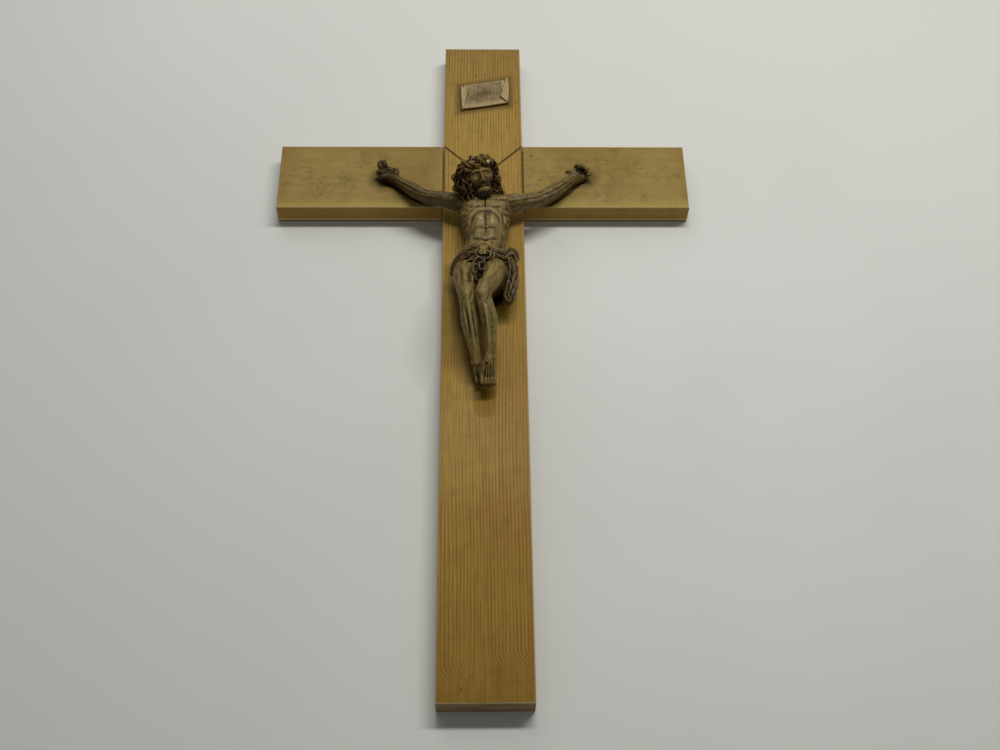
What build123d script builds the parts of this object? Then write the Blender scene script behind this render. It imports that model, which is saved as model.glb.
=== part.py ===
from build123d import *
import os
from math import cos, radians, sin

os.makedirs("parts", exist_ok=True)

# Sizes are in millimetres. The crucifix lies on its back: X is to the right, Y is up along the post
# and Z is out of the front. The origin is at the middle of the post's back.
# Right and left arm are the figure's own. Names that end in share are parts of another size.

# The laths of the cross
post_length = 400
post_width = 44.5
bar_length = 229
bar_width = 44.5
lath_thickness = 12
head_length = 77.5
lap_share = 0.5
edge_rounding = 0.8
joint_gap = 0.25

# Screws that hold the laps, put in from the back
lap_screw_head_radius = 3
lap_screw_shank_radius = 1.5
lap_screw_length = 10
lower_screw_spread = 11
lower_screw_fall = 12
upper_screw_spread = 5
upper_screw_rise = 15
screw_clearance = 0.05

# Hole in the back for a wall hook
hanging_hole_radius = 4
hanging_hole_depth = 7
hanging_hole_drop = 30

# Places of the figure, as distances below the line of the hand nails
collar_drop = 22.5
shoulder_drop = 26.8
chest_drop = 35
rib_drop = 45
waist_drop = 55
hip_drop = 71
thigh_drop = 86
knee_drop = 98
calf_drop = 110
shin_drop = 120.5
ankle_drop = 129

# Half widths and half depths of the figure's trunk
collar_half_width = 8
collar_half_depth = 5
shoulder_half_width = 14.5
shoulder_fullness = 3
shoulder_half_depth = 7.6
chest_half_width = 15.4
chest_half_depth = 9.6
rib_half_width = 13.6
rib_half_depth = 9.6
waist_half_width = 11
waist_half_depth = 7.9
trunk_lift = 9.3
collar_lift = 10.3
chest_sway = 1.4
collar_sway = 0.7
waist_sway = 0.56
hip_sway = -1.6

# Head, hair, beard and crown
head_half_height = 10.6
head_half_width = 8
head_drop = 18
head_side = -1.8
head_lift = 21
head_bow = 28
head_lean = 9
hair_half_height = 11.2
hair_half_width = 10.4
hair_back = 3.2
hair_side = -1.6
lock_radius = 3.2
lock_end_radius = 2.24
lock_root_side = 6.45
lock_root_fall = 1.12
lock_bend_side = 8.94
lock_bend_drop = 23.5
lock_bend_lift = 16.8
lock_end_side = 8.53
lock_end_drop = 31.8
lock_end_lift = 15.3
cut_share = 4
beard_radius = 3.6
beard_fall = 8.7
beard_out = 3.6
neck_radius = 5.6
neck_root_drop = 26.5
neck_top_fall = 3.2
crown_radius = 9.4
crown_thickness = 1.7
crown_rise = 4.4
crown_clearance = 0.1

# Arms and hands
shoulder_lift = 9.8
arm_root_half_height = 4.8
arm_root_half_depth = 4.5
upper_arm_radius = 4.3
elbow_radius = 3.4
forearm_radius = 3.5
wrist_radius = 1.9
elbow_reach = 31.4
elbow_drop = 20.8
elbow_lift = 8
forearm_reach = 38.3
forearm_drop = 15.3
forearm_lift = 6.8
wrist_reach = 48.7
wrist_drop = 5.6
wrist_lift = 4
hand_reach = 53.6
palm_half_width = 4
palm_half_length = 4.6
palm_half_thickness = 2.1
palm_lift = 2.1
palm_lean = 2.53
palm_end_share = 0.8
wrist_half_thickness = 1.7
hand_overlap = 1
finger_radius = 1.05
finger_tip_radius = 0.84
finger_root_side = 2.3
finger_root_rise = 3.68
finger_lean = 2.4
finger_spread = 0.3
finger_rise = 4.8
finger_tip_lift = 3.1
curled_finger_radius = 1.6
curled_finger_lift = 2.94
right_curl_places = ((4, -0.8), (2.8, 2))
left_curl_places = ((-0.4, -5), (2, -3.7), (3.6, -0.9), (4.4, 1.8))
thumb_radius = 1.1
thumb_tip_radius = 0.88
thumb_root_lift = 2.73
right_thumb_root_side = 2.4
right_thumb_root_drop = 2
right_thumb_tip_side = 3.6
right_thumb_tip_drop = -4
right_thumb_tip_lift = 3.8
left_thumb_root_side = 2
left_thumb_root_drop = 0.5
left_thumb_tip_side = 6.2
left_thumb_tip_drop = -1.5

# Dowels in the shoulders
dowel_radius = 1.5
dowel_length = 8
dowel_clearance = 0.05

# Legs and feet
leg_spread = 6.6
thigh_radius = 6
lower_thigh_radius = 5.2
right_knee_radius = 3.8
left_knee_radius = 4.2
calf_radius = 4.1
shin_radius = 2.9
ankle_radius = 2.5
hip_lift = 10.5
right_thigh_lift = 18.5
left_thigh_lift = 20
right_knee_side = -9.2
right_knee_lift = 22.5
right_calf_side = -7.6
right_calf_lift = 18.2
right_shin_side = -5.4
right_shin_lift = 13.6
right_ankle_side = -3.6
right_ankle_lift = 9
left_knee_side = -0.6
left_knee_lift = 25.5
left_calf_side = 2.6
left_calf_lift = 21.2
left_shin_side = 3.4
left_shin_lift = 17
left_ankle_side = 3.2
left_ankle_lift = 14.4
foot_half_width = 3.9
foot_half_thickness = 2.1
toe_half_width = 3.3
toe_half_thickness = 1.26
right_foot_length = 10.5
right_foot_side = -3.4
right_instep_lift = 6
right_toe_lift = 3.6
left_foot_length = 13
left_instep_side = 2.6
left_instep_lift = 10.8
left_toe_side = 2.3
left_toe_lift = 8.4

# Loincloth
cloth_top_drop = 61
cloth_top_half_width = 13.2
cloth_top_half_depth = 9.4
cloth_top_sway = -0.96
cloth_band_drop = 69
cloth_band_half_width = 14.9
cloth_band_half_depth = 10.4
cloth_band_lift = 10
cloth_hem_drop = 80
cloth_hem_half_width = 15.4
cloth_hem_half_depth = 11.6
cloth_hem_lift = 13
knot_side = -0.8
knot_radius = 3
knot_drop = 74
knot_lift = 23.5
knot_root_radius = 2.4
knot_root_drop = 72
knot_root_lift = 17.5
tail_length = 13
tail_radius = 1.5
tail_lift = 24.5
drape_top_drop = 66
drape_length = 31
drape_upper_length = 10.85
drape_lower_length = 20.15
drape_half_width = 2.6
drape_full_half_width = 2.86
drape_end_half_width = 1.82
drape_half_depth = 4.6
drape_slim_half_depth = 4.14
drape_end_half_depth = 2.76
drape_side = 13.2
drape_lower_side = 13.4
drape_end_side = 12.6
drape_lift = 11
drape_end_lift = 10.5

# Nails and the screw that hold the figure
nail_radius = 0.7
nail_head_radius = 1.3
nail_head_height = 0.8
nail_dome_share = 0.6
nail_seat = 1.68
nail_bite = 6
nail_clearance = 0.03
foot_nail_side = 1.4
foot_nail_fall = 3.5
corpus_screw_radius = 1.6
corpus_screw_head_radius = 3.3
corpus_screw_bite = 8
corpus_screw_drop = 69

# Title scroll
scroll_width = 24.5
scroll_height = 17
scroll_thickness = 1.5
scroll_flap_width = 4
scroll_flap_step = 1
scroll_flap_reach = 2.4
scroll_flap_root = 9.5
scroll_flap_top = 10.9
scroll_flap_foot = 6.8
scroll_flap_fold = 3.4
scroll_tilt = 9
scroll_drop = 39.5
scroll_side = 0.8

# Levels that follow from the sizes above
post_top = post_length / 2
bar_top = post_top - head_length
bar_bottom = bar_top - bar_width
bar_middle = (bar_top + bar_bottom) / 2
lap_level = lath_thickness * lap_share
face = lath_thickness
half_post = post_width / 2


def spot(x, drop, lift):
    # A place on the figure: to the right, below the nails' line and above the front of the wood
    return Vector(x, bar_middle - drop, face + lift)


def oval(plane, half_width, half_depth):
    # A closed section on a plane, wider than deep or round
    with BuildSketch(plane) as section:
        if half_width == half_depth:
            Circle(half_width)
        else:
            Ellipse(half_width, half_depth)
    return section.sketch


def level_oval(x, drop, lift, half_width, half_depth):
    # A section across the trunk, level with the bar
    plane = Plane(origin=spot(x, drop, lift), x_dir=(1, 0, 0), z_dir=(0, -1, 0))
    return oval(plane, half_width, half_depth)


def limb(places, radii, across):
    # Sections square to the path through the places, from its first place to its last
    sections = []
    for index, place in enumerate(places):
        before = places[max(index - 1, 0)]
        after = places[min(index + 1, len(places) - 1)]
        along = (after - before).normalized()
        side = across - along * across.dot(along)
        plane = Plane(origin=place, x_dir=side, z_dir=along)
        half_width, half_depth = radii[index]
        sections.append(oval(plane, half_width, half_depth))
    return sections


def round_radii(*radii):
    # Round sections have the same half width and half depth
    return [(radius, radius) for radius in radii]


# Head axes: up to the crown, across to the figure's left and out of the face
head_up = Vector(
    -sin(radians(head_lean)) * cos(radians(head_bow)),
    cos(radians(head_lean)) * cos(radians(head_bow)),
    sin(radians(head_bow)),
)
head_across = (Vector(1, 0, 0) - head_up * head_up.X).normalized()
head_front = head_across.cross(head_up)
head_middle = spot(head_side, head_drop, head_lift)
hair_middle = head_middle - head_front * hair_back + head_across * hair_side
crown_plane = Plane(origin=head_middle + head_up * crown_rise, x_dir=head_across, z_dir=head_up)

# Sections of the legs from the hip to the toes
thigh_radii = round_radii(thigh_radius, lower_thigh_radius)
shin_radii = round_radii(calf_radius, shin_radius, ankle_radius)
foot_radii = [(foot_half_width, foot_half_thickness), (toe_half_width, toe_half_thickness)]
right_leg_radii = thigh_radii + round_radii(right_knee_radius) + shin_radii + foot_radii
left_leg_radii = thigh_radii + round_radii(left_knee_radius) + shin_radii + foot_radii

# Sections of the hands: wrist, middle of the palm and knuckles
palm_radii = [
    (wrist_radius, wrist_half_thickness),
    (palm_half_width, palm_half_thickness),
    (palm_half_width * palm_end_share, palm_half_thickness * palm_end_share),
]

# Places of the arms' joints and elbows
right_joint = spot(chest_sway - shoulder_half_width, shoulder_drop, shoulder_lift)
left_joint = spot(chest_sway + shoulder_half_width, shoulder_drop, shoulder_lift)
right_elbow = spot(-elbow_reach, elbow_drop, elbow_lift)
left_elbow = spot(elbow_reach, elbow_drop, elbow_lift)

# Places of the fasteners
hand_nail_lift = palm_lift + nail_seat
foot_nail_place = spot(foot_nail_side, ankle_drop + foot_nail_fall, 0)
foot_slope = (left_ankle_lift - left_toe_lift) / left_foot_length
foot_nail_lift = left_ankle_lift - foot_slope * foot_nail_fall + nail_seat
corpus_screw_place = spot(hip_sway / 2, corpus_screw_drop, 0)
hanging_hole_place = Vector(0, post_top - hanging_hole_drop, 0)
lower_screw_places = [(side * lower_screw_spread, bar_middle - lower_screw_fall) for side in (-1, 1)]
upper_screw_places = [(side * upper_screw_spread, bar_middle + upper_screw_rise) for side in (-1, 1)]
lap_screw_head_height = lap_screw_head_radius - lap_screw_shank_radius
corpus_screw_head_height = corpus_screw_head_radius - corpus_screw_radius
corpus_screw_length = lath_thickness + corpus_screw_bite

# Lower post: full thickness below the bar.
# Its front half runs on across the bar as a tongue with a V notch.
with BuildPart() as lower_post:
    with BuildSketch(Plane.XY):
        with BuildLine():
            Polyline(
                (-half_post, -post_top),
                (half_post, -post_top),
                (half_post, bar_bottom - joint_gap),
                (-half_post, bar_bottom - joint_gap),
                close=True,
            )
        make_face()
    extrude(amount=lath_thickness)
    front_edges = lower_post.edges().group_by(Axis.Z)[-1]
    end_edge = front_edges.filter_by(Axis.X).group_by(Axis.Y)[0]
    fillet(front_edges.filter_by(Axis.Y) + end_edge, radius=edge_rounding)
    with BuildSketch(Plane.XY.offset(lap_level)):
        with BuildLine():
            Polyline(
                (-half_post, bar_bottom - joint_gap),
                (half_post, bar_bottom - joint_gap),
                (half_post, bar_top - joint_gap),
                (0, bar_middle - joint_gap),
                (-half_post, bar_top - joint_gap),
                close=True,
            )
        make_face()
    extrude(amount=lath_thickness - lap_level)
    # Holes for the lap screws, the screw into the figure and the nail through the feet
    for x, y in lower_screw_places:
        with Locations(Location((x, y, lap_level))):
            Cylinder(
                radius=lap_screw_shank_radius + screw_clearance,
                height=lap_screw_length - lap_level + screw_clearance,
                align=(Align.CENTER, Align.CENTER, Align.MIN),
                mode=Mode.SUBTRACT,
            )
    with Locations(Location((corpus_screw_place.X, corpus_screw_place.Y, 0))):
        Cylinder(
            radius=corpus_screw_radius + screw_clearance,
            height=lath_thickness,
            align=(Align.CENTER, Align.CENTER, Align.MIN),
            mode=Mode.SUBTRACT,
        )
        Cone(
            bottom_radius=corpus_screw_head_radius + screw_clearance,
            top_radius=corpus_screw_radius + screw_clearance,
            height=corpus_screw_head_height,
            align=(Align.CENTER, Align.CENTER, Align.MIN),
            mode=Mode.SUBTRACT,
        )
    with Locations(Location((foot_nail_place.X, foot_nail_place.Y, face))):
        Cylinder(
            radius=nail_radius + nail_clearance,
            height=nail_bite + nail_clearance,
            align=(Align.CENTER, Align.CENTER, Align.MAX),
            mode=Mode.SUBTRACT,
        )
lower_post.part.label = "lower_post"

# Top post: full thickness above the bar, its front half runs down into the V notch as a pointed tongue
with BuildPart() as top_post:
    with BuildSketch(Plane.XY):
        with BuildLine():
            Polyline(
                (-half_post, bar_top + joint_gap),
                (half_post, bar_top + joint_gap),
                (half_post, post_top),
                (-half_post, post_top),
                close=True,
            )
        make_face()
    extrude(amount=lath_thickness)
    front_edges = top_post.edges().group_by(Axis.Z)[-1]
    end_edge = front_edges.filter_by(Axis.X).group_by(Axis.Y)[-1]
    fillet(front_edges.filter_by(Axis.Y) + end_edge, radius=edge_rounding)
    with BuildSketch(Plane.XY.offset(lap_level)):
        with BuildLine():
            Polyline(
                (-half_post, bar_top + joint_gap),
                (0, bar_middle + joint_gap),
                (half_post, bar_top + joint_gap),
                close=True,
            )
        make_face()
    extrude(amount=lath_thickness - lap_level)
    # Holes for the lap screws and the wall hook
    for x, y in upper_screw_places:
        with Locations(Location((x, y, lap_level))):
            Cylinder(
                radius=lap_screw_shank_radius + screw_clearance,
                height=lap_screw_length - lap_level + screw_clearance,
                align=(Align.CENTER, Align.CENTER, Align.MIN),
                mode=Mode.SUBTRACT,
            )
    with Locations(Location(hanging_hole_place)):
        Cylinder(
            radius=hanging_hole_radius,
            height=hanging_hole_depth,
            align=(Align.CENTER, Align.CENTER, Align.MIN),
            mode=Mode.SUBTRACT,
        )
top_post.part.label = "top_post"

# Crossbar: one lath with a half-depth housing in its front, where the two post pieces lap it
with BuildPart() as crossbar:
    with Locations(Location((0, bar_middle, 0))):
        Box(bar_length, bar_width, lath_thickness, align=(Align.CENTER, Align.CENTER, Align.MIN))
    fillet(crossbar.edges().group_by(Axis.Z)[-1], radius=edge_rounding)
    with Locations(Location((0, bar_middle, lap_level))):
        Box(
            post_width + 2 * joint_gap,
            bar_width,
            lath_thickness,
            align=(Align.CENTER, Align.CENTER, Align.MIN),
            mode=Mode.SUBTRACT,
        )
    # Countersunk holes for the lap screws and blind holes for the hand nails
    for x, y in lower_screw_places + upper_screw_places:
        with Locations(Location((x, y, 0))):
            Cylinder(
                radius=lap_screw_shank_radius + screw_clearance,
                height=lap_level,
                align=(Align.CENTER, Align.CENTER, Align.MIN),
                mode=Mode.SUBTRACT,
            )
            Cone(
                bottom_radius=lap_screw_head_radius + screw_clearance,
                top_radius=lap_screw_shank_radius + screw_clearance,
                height=lap_screw_head_height,
                align=(Align.CENTER, Align.CENTER, Align.MIN),
                mode=Mode.SUBTRACT,
            )
    for side in (-1, 1):
        with Locations(Location((side * hand_reach, bar_middle, face))):
            Cylinder(
                radius=nail_radius + nail_clearance,
                height=nail_bite + nail_clearance,
                align=(Align.CENTER, Align.CENTER, Align.MAX),
                mode=Mode.SUBTRACT,
            )
crossbar.part.label = "crossbar"

# Lap screws: four countersunk screws
with BuildPart() as lap_screws:
    for x, y in lower_screw_places + upper_screw_places:
        with Locations(Location((x, y, 0))):
            Cylinder(
                radius=lap_screw_shank_radius,
                height=lap_screw_length,
                align=(Align.CENTER, Align.CENTER, Align.MIN),
            )
            Cone(
                bottom_radius=lap_screw_head_radius,
                top_radius=lap_screw_shank_radius,
                height=lap_screw_head_height,
                align=(Align.CENTER, Align.CENTER, Align.MIN),
            )
lap_screws.part.label = "lap_screws"

# Body of the figure: trunk with flat shoulder joints, neck, head, hair, beard, legs, feet and loincloth
with BuildPart() as corpus_body:
    loft(
        [
            level_oval(collar_sway, collar_drop, collar_lift, collar_half_width, collar_half_depth),
            level_oval(
                chest_sway,
                shoulder_drop,
                trunk_lift,
                shoulder_half_width + shoulder_fullness,
                shoulder_half_depth,
            ),
            level_oval(chest_sway, chest_drop, trunk_lift, chest_half_width, chest_half_depth),
            level_oval(chest_sway, rib_drop, trunk_lift, rib_half_width, rib_half_depth),
            level_oval(waist_sway, waist_drop, trunk_lift, waist_half_width, waist_half_depth),
            level_oval(
                cloth_top_sway, cloth_top_drop, trunk_lift, cloth_top_half_width, cloth_top_half_depth
            ),
            level_oval(
                hip_sway, cloth_band_drop, cloth_band_lift, cloth_band_half_width, cloth_band_half_depth
            ),
            level_oval(
                hip_sway, cloth_hem_drop, cloth_hem_lift, cloth_hem_half_width, cloth_hem_half_depth
            ),
        ],
        ruled=True,
    )
    # Neck
    loft(
        limb(
            [spot(collar_sway, neck_root_drop, collar_lift), head_middle - head_up * neck_top_fall],
            round_radii(neck_radius, neck_radius),
            Vector(1, 0, 0),
        ),
        ruled=True,
    )
    # Head
    with BuildSketch(Plane(origin=head_middle, x_dir=head_across, z_dir=head_front * -1)):
        Ellipse(head_half_width, head_half_height)
        Rectangle(
            head_half_width * cut_share,
            head_half_height * cut_share,
            align=(Align.MAX, Align.CENTER),
            mode=Mode.INTERSECT,
        )
    revolve(axis=Axis(head_middle, head_up))
    # Hair
    with BuildSketch(Plane(origin=hair_middle, x_dir=head_across, z_dir=head_front * -1)):
        Ellipse(hair_half_width, hair_half_height)
        Rectangle(
            hair_half_width * cut_share,
            hair_half_height * cut_share,
            align=(Align.MAX, Align.CENTER),
            mode=Mode.INTERSECT,
        )
    revolve(axis=Axis(hair_middle, head_up))
    # Locks on the figure's right and left shoulder
    for side in (-1, 1):
        root = hair_middle + head_across * (side * lock_root_side) - head_up * lock_root_fall
        loft(
            limb(
                [
                    root,
                    spot(head_side + side * lock_bend_side, lock_bend_drop, lock_bend_lift),
                    spot(chest_sway + side * lock_end_side, lock_end_drop, lock_end_lift),
                ],
                round_radii(lock_radius, lock_radius, lock_end_radius),
                Vector(1, 0, 0),
            ),
            ruled=True,
        )
    # Beard
    with Locations(Location(head_middle - head_up * beard_fall + head_front * beard_out)):
        Sphere(beard_radius)
    # Flat joints for the arms
    split(bisect_by=Plane(origin=left_joint, z_dir=(-1, 0, 0)), keep=Keep.TOP)
    split(bisect_by=Plane(origin=right_joint, z_dir=(1, 0, 0)), keep=Keep.TOP)
    # Right leg and foot, behind
    loft(
        limb(
            [
                spot(hip_sway - leg_spread, hip_drop, hip_lift),
                spot((hip_sway - leg_spread + right_knee_side) / 2, thigh_drop, right_thigh_lift),
                spot(right_knee_side, knee_drop, right_knee_lift),
                spot(right_calf_side, calf_drop, right_calf_lift),
                spot(right_shin_side, shin_drop, right_shin_lift),
                spot(right_ankle_side, ankle_drop, right_ankle_lift),
                spot(right_foot_side, ankle_drop + right_foot_length / 2, right_instep_lift),
                spot(right_foot_side, ankle_drop + right_foot_length, right_toe_lift),
            ],
            right_leg_radii,
            Vector(1, 0, 0),
        ),
        ruled=True,
    )
    # Left leg and foot, in front
    loft(
        limb(
            [
                spot(hip_sway + leg_spread, hip_drop, hip_lift),
                spot((hip_sway + leg_spread + left_knee_side) / 2, thigh_drop, left_thigh_lift),
                spot(left_knee_side, knee_drop, left_knee_lift),
                spot(left_calf_side, calf_drop, left_calf_lift),
                spot(left_shin_side, shin_drop, left_shin_lift),
                spot(left_ankle_side, ankle_drop, left_ankle_lift),
                spot(left_instep_side, ankle_drop + left_foot_length / 2, left_instep_lift),
                spot(left_toe_side, ankle_drop + left_foot_length, left_toe_lift),
            ],
            left_leg_radii,
            Vector(1, 0, 0),
        ),
        ruled=True,
    )
    # Knot and tail of the loincloth in front
    loft(
        limb(
            [
                spot(knot_side, knot_root_drop, knot_root_lift),
                spot(knot_side, knot_drop, knot_lift),
                spot(knot_side, knot_drop + tail_length, tail_lift),
            ],
            round_radii(knot_root_radius, knot_radius, tail_radius),
            Vector(1, 0, 0),
        ),
        ruled=True,
    )
    # Drape that hangs from the left hip
    loft(
        limb(
            [
                spot(drape_side - drape_half_width, drape_top_drop, drape_lift),
                spot(drape_side, drape_top_drop + drape_upper_length, drape_lift),
                spot(drape_lower_side, drape_top_drop + drape_lower_length, drape_lift),
                spot(drape_end_side, drape_top_drop + drape_length, drape_end_lift),
            ],
            [
                (drape_slim_half_depth, drape_half_width),
                (drape_half_depth, drape_full_half_width),
                (drape_slim_half_depth, drape_half_width),
                (drape_end_half_depth, drape_end_half_width),
            ],
            Vector(0, 0, 1),
        ),
        ruled=True,
    )
    # Flat back, where the figure sits on the wood
    split(bisect_by=Plane.XY.offset(face), keep=Keep.TOP)
    # Groove for the crown, sockets for the dowels, pilot hole for the screw and hole for the nail
    with Locations(Location(crown_plane)):
        Torus(crown_radius, crown_thickness + crown_clearance, mode=Mode.SUBTRACT)
    for joint, turn in ((left_joint, -90), (right_joint, 90)):
        with Locations(Location(joint, (0, turn, 0))):
            Cylinder(
                radius=dowel_radius + dowel_clearance,
                height=dowel_length / 2 + dowel_clearance,
                align=(Align.CENTER, Align.CENTER, Align.MIN),
                mode=Mode.SUBTRACT,
            )
    with Locations(Location((corpus_screw_place.X, corpus_screw_place.Y, face))):
        Cylinder(
            radius=corpus_screw_radius + screw_clearance,
            height=corpus_screw_bite + screw_clearance,
            align=(Align.CENTER, Align.CENTER, Align.MIN),
            mode=Mode.SUBTRACT,
        )
    with Locations(Location((foot_nail_place.X, foot_nail_place.Y, face))):
        Cylinder(
            radius=nail_radius + nail_clearance,
            height=foot_nail_lift * 2,
            align=(Align.CENTER, Align.CENTER, Align.MIN),
            mode=Mode.SUBTRACT,
        )
    with Locations(Location((foot_nail_place.X, foot_nail_place.Y, face + foot_nail_lift))):
        Cylinder(
            radius=nail_head_radius + nail_clearance,
            height=foot_nail_lift,
            align=(Align.CENTER, Align.CENTER, Align.MIN),
            mode=Mode.SUBTRACT,
        )
corpus_body.part.label = "corpus_body"

# Right arm: two fingers stretched up, the others curled
with BuildPart() as corpus_arm_right:
    root_plane = Plane(
        origin=right_joint, x_dir=(0, 1, 0), z_dir=(-1, 0, 0)
    )
    loft(
        [oval(root_plane, arm_root_half_height, arm_root_half_depth)]
        + limb(
            [
                (right_joint + right_elbow) / 2,
                right_elbow,
                spot(-forearm_reach, forearm_drop, forearm_lift),
                spot(-wrist_reach, wrist_drop, wrist_lift),
            ],
            round_radii(upper_arm_radius, elbow_radius, forearm_radius, wrist_radius),
            Vector(0, 1, 0),
        ),
        ruled=True,
    )
    loft(
        limb(
            [
                spot(-wrist_reach + hand_overlap, wrist_drop + hand_overlap, wrist_lift),
                spot(-hand_reach, 0, palm_lift),
                spot(-hand_reach - palm_lean, -palm_half_length, palm_lift),
            ],
            palm_radii,
            Vector(-1, -0.5, 0),
        ),
        ruled=True,
    )
    # Two long fingers side by side, curled fingers and thumb
    for shift in (-1, 1):
        root_side = -hand_reach - finger_root_side + shift * finger_radius
        knuckle = spot(root_side, -finger_root_rise, palm_lift)
        tip_side = root_side - finger_lean + shift * finger_spread
        tip = spot(tip_side, -finger_root_rise - finger_rise, finger_tip_lift)
        loft(
            limb([knuckle, tip], round_radii(finger_radius, finger_tip_radius), Vector(1, 0, 0)),
            ruled=True,
        )
    for across, drop in right_curl_places:
        with Locations(Location(spot(-hand_reach - across, drop, curled_finger_lift))):
            Sphere(curled_finger_radius)
    thumb_root = spot(-hand_reach + right_thumb_root_side, right_thumb_root_drop, thumb_root_lift)
    thumb_tip = spot(-hand_reach + right_thumb_tip_side, right_thumb_tip_drop, right_thumb_tip_lift)
    loft(
        limb([thumb_root, thumb_tip], round_radii(thumb_radius, thumb_tip_radius), Vector(1, 0, 0)),
        ruled=True,
    )
    # Flat joint, flat back, socket for the dowel and hole for the nail
    split(bisect_by=Plane(origin=right_joint, z_dir=(-1, 0, 0)), keep=Keep.TOP)
    split(bisect_by=Plane.XY.offset(face), keep=Keep.TOP)
    with Locations(Location(right_joint, (0, -90, 0))):
        Cylinder(
            radius=dowel_radius + dowel_clearance,
            height=dowel_length / 2 + dowel_clearance,
            align=(Align.CENTER, Align.CENTER, Align.MIN),
            mode=Mode.SUBTRACT,
        )
    with Locations(Location((-hand_reach, bar_middle, face))):
        Cylinder(
            radius=nail_radius + nail_clearance,
            height=hand_nail_lift * 2,
            align=(Align.CENTER, Align.CENTER, Align.MIN),
            mode=Mode.SUBTRACT,
        )
    with Locations(Location((-hand_reach, bar_middle, face + hand_nail_lift))):
        Cylinder(
            radius=nail_head_radius + nail_clearance,
            height=hand_nail_lift,
            align=(Align.CENTER, Align.CENTER, Align.MIN),
            mode=Mode.SUBTRACT,
        )
corpus_arm_right.part.label = "corpus_arm_right"

# Left arm: all fingers curled round the nail
with BuildPart() as corpus_arm_left:
    root_plane = Plane(origin=left_joint, x_dir=(0, 1, 0), z_dir=(1, 0, 0))
    loft(
        [oval(root_plane, arm_root_half_height, arm_root_half_depth)]
        + limb(
            [
                (left_joint + left_elbow) / 2,
                left_elbow,
                spot(forearm_reach, forearm_drop, forearm_lift),
                spot(wrist_reach, wrist_drop, wrist_lift),
            ],
            round_radii(upper_arm_radius, elbow_radius, forearm_radius, wrist_radius),
            Vector(0, 1, 0),
        ),
        ruled=True,
    )
    loft(
        limb(
            [
                spot(wrist_reach - hand_overlap, wrist_drop + hand_overlap, wrist_lift),
                spot(hand_reach, 0, palm_lift),
                spot(hand_reach + palm_lean, -palm_half_length, palm_lift),
            ],
            palm_radii,
            Vector(-1, 0.5, 0),
        ),
        ruled=True,
    )
    # Curled fingers and thumb
    for across, drop in left_curl_places:
        with Locations(Location(spot(hand_reach + across, drop, curled_finger_lift))):
            Sphere(curled_finger_radius)
    thumb_root = spot(hand_reach - left_thumb_root_side, left_thumb_root_drop, thumb_root_lift)
    thumb_tip = spot(hand_reach - left_thumb_tip_side, left_thumb_tip_drop, palm_lift)
    loft(
        limb([thumb_root, thumb_tip], round_radii(thumb_radius, thumb_tip_radius), Vector(0, 1, 0)),
        ruled=True,
    )
    # Flat joint, flat back, socket for the dowel and hole for the nail
    split(bisect_by=Plane(origin=left_joint, z_dir=(1, 0, 0)), keep=Keep.TOP)
    split(bisect_by=Plane.XY.offset(face), keep=Keep.TOP)
    with Locations(Location(left_joint, (0, 90, 0))):
        Cylinder(
            radius=dowel_radius + dowel_clearance,
            height=dowel_length / 2 + dowel_clearance,
            align=(Align.CENTER, Align.CENTER, Align.MIN),
            mode=Mode.SUBTRACT,
        )
    with Locations(Location((hand_reach, bar_middle, face))):
        Cylinder(
            radius=nail_radius + nail_clearance,
            height=hand_nail_lift * 2,
            align=(Align.CENTER, Align.CENTER, Align.MIN),
            mode=Mode.SUBTRACT,
        )
    with Locations(Location((hand_reach, bar_middle, face + hand_nail_lift))):
        Cylinder(
            radius=nail_head_radius + nail_clearance,
            height=hand_nail_lift,
            align=(Align.CENTER, Align.CENTER, Align.MIN),
            mode=Mode.SUBTRACT,
        )
corpus_arm_left.part.label = "corpus_arm_left"

# Shoulder dowels: one across each arm joint
with BuildPart() as shoulder_dowels:
    for joint in (right_joint, left_joint):
        with Locations(Location(joint, (0, 90, 0))):
            Cylinder(radius=dowel_radius, height=dowel_length)
shoulder_dowels.part.label = "shoulder_dowels"

# Crown of thorns: a ring that sits in the groove round the hair
with BuildPart() as crown_of_thorns:
    with Locations(Location(crown_plane)):
        Torus(crown_radius, crown_thickness)
crown_of_thorns.part.label = "crown_of_thorns"

# Hand nails: shank in the bar, domed head on the palm
with BuildPart() as hand_nails:
    for side in (-1, 1):
        with Locations(Location((side * hand_reach, bar_middle, face - nail_bite))):
            Cylinder(
                radius=nail_radius,
                height=nail_bite + hand_nail_lift,
                align=(Align.CENTER, Align.CENTER, Align.MIN),
            )
        with Locations(Location((side * hand_reach, bar_middle, face + hand_nail_lift))):
            Cone(
                bottom_radius=nail_head_radius,
                top_radius=nail_head_radius * nail_dome_share,
                height=nail_head_height,
                align=(Align.CENTER, Align.CENTER, Align.MIN),
            )
hand_nails.part.label = "hand_nails"

# Foot nail: shank in the post, domed head on the upper foot
with BuildPart() as foot_nail:
    with Locations(Location((foot_nail_place.X, foot_nail_place.Y, face - nail_bite))):
        Cylinder(
            radius=nail_radius,
            height=nail_bite + foot_nail_lift,
            align=(Align.CENTER, Align.CENTER, Align.MIN),
        )
    with Locations(Location((foot_nail_place.X, foot_nail_place.Y, face + foot_nail_lift))):
        Cone(
            bottom_radius=nail_head_radius,
            top_radius=nail_head_radius * nail_dome_share,
            height=nail_head_height,
            align=(Align.CENTER, Align.CENTER, Align.MIN),
        )
foot_nail.part.label = "foot_nail"

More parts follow.
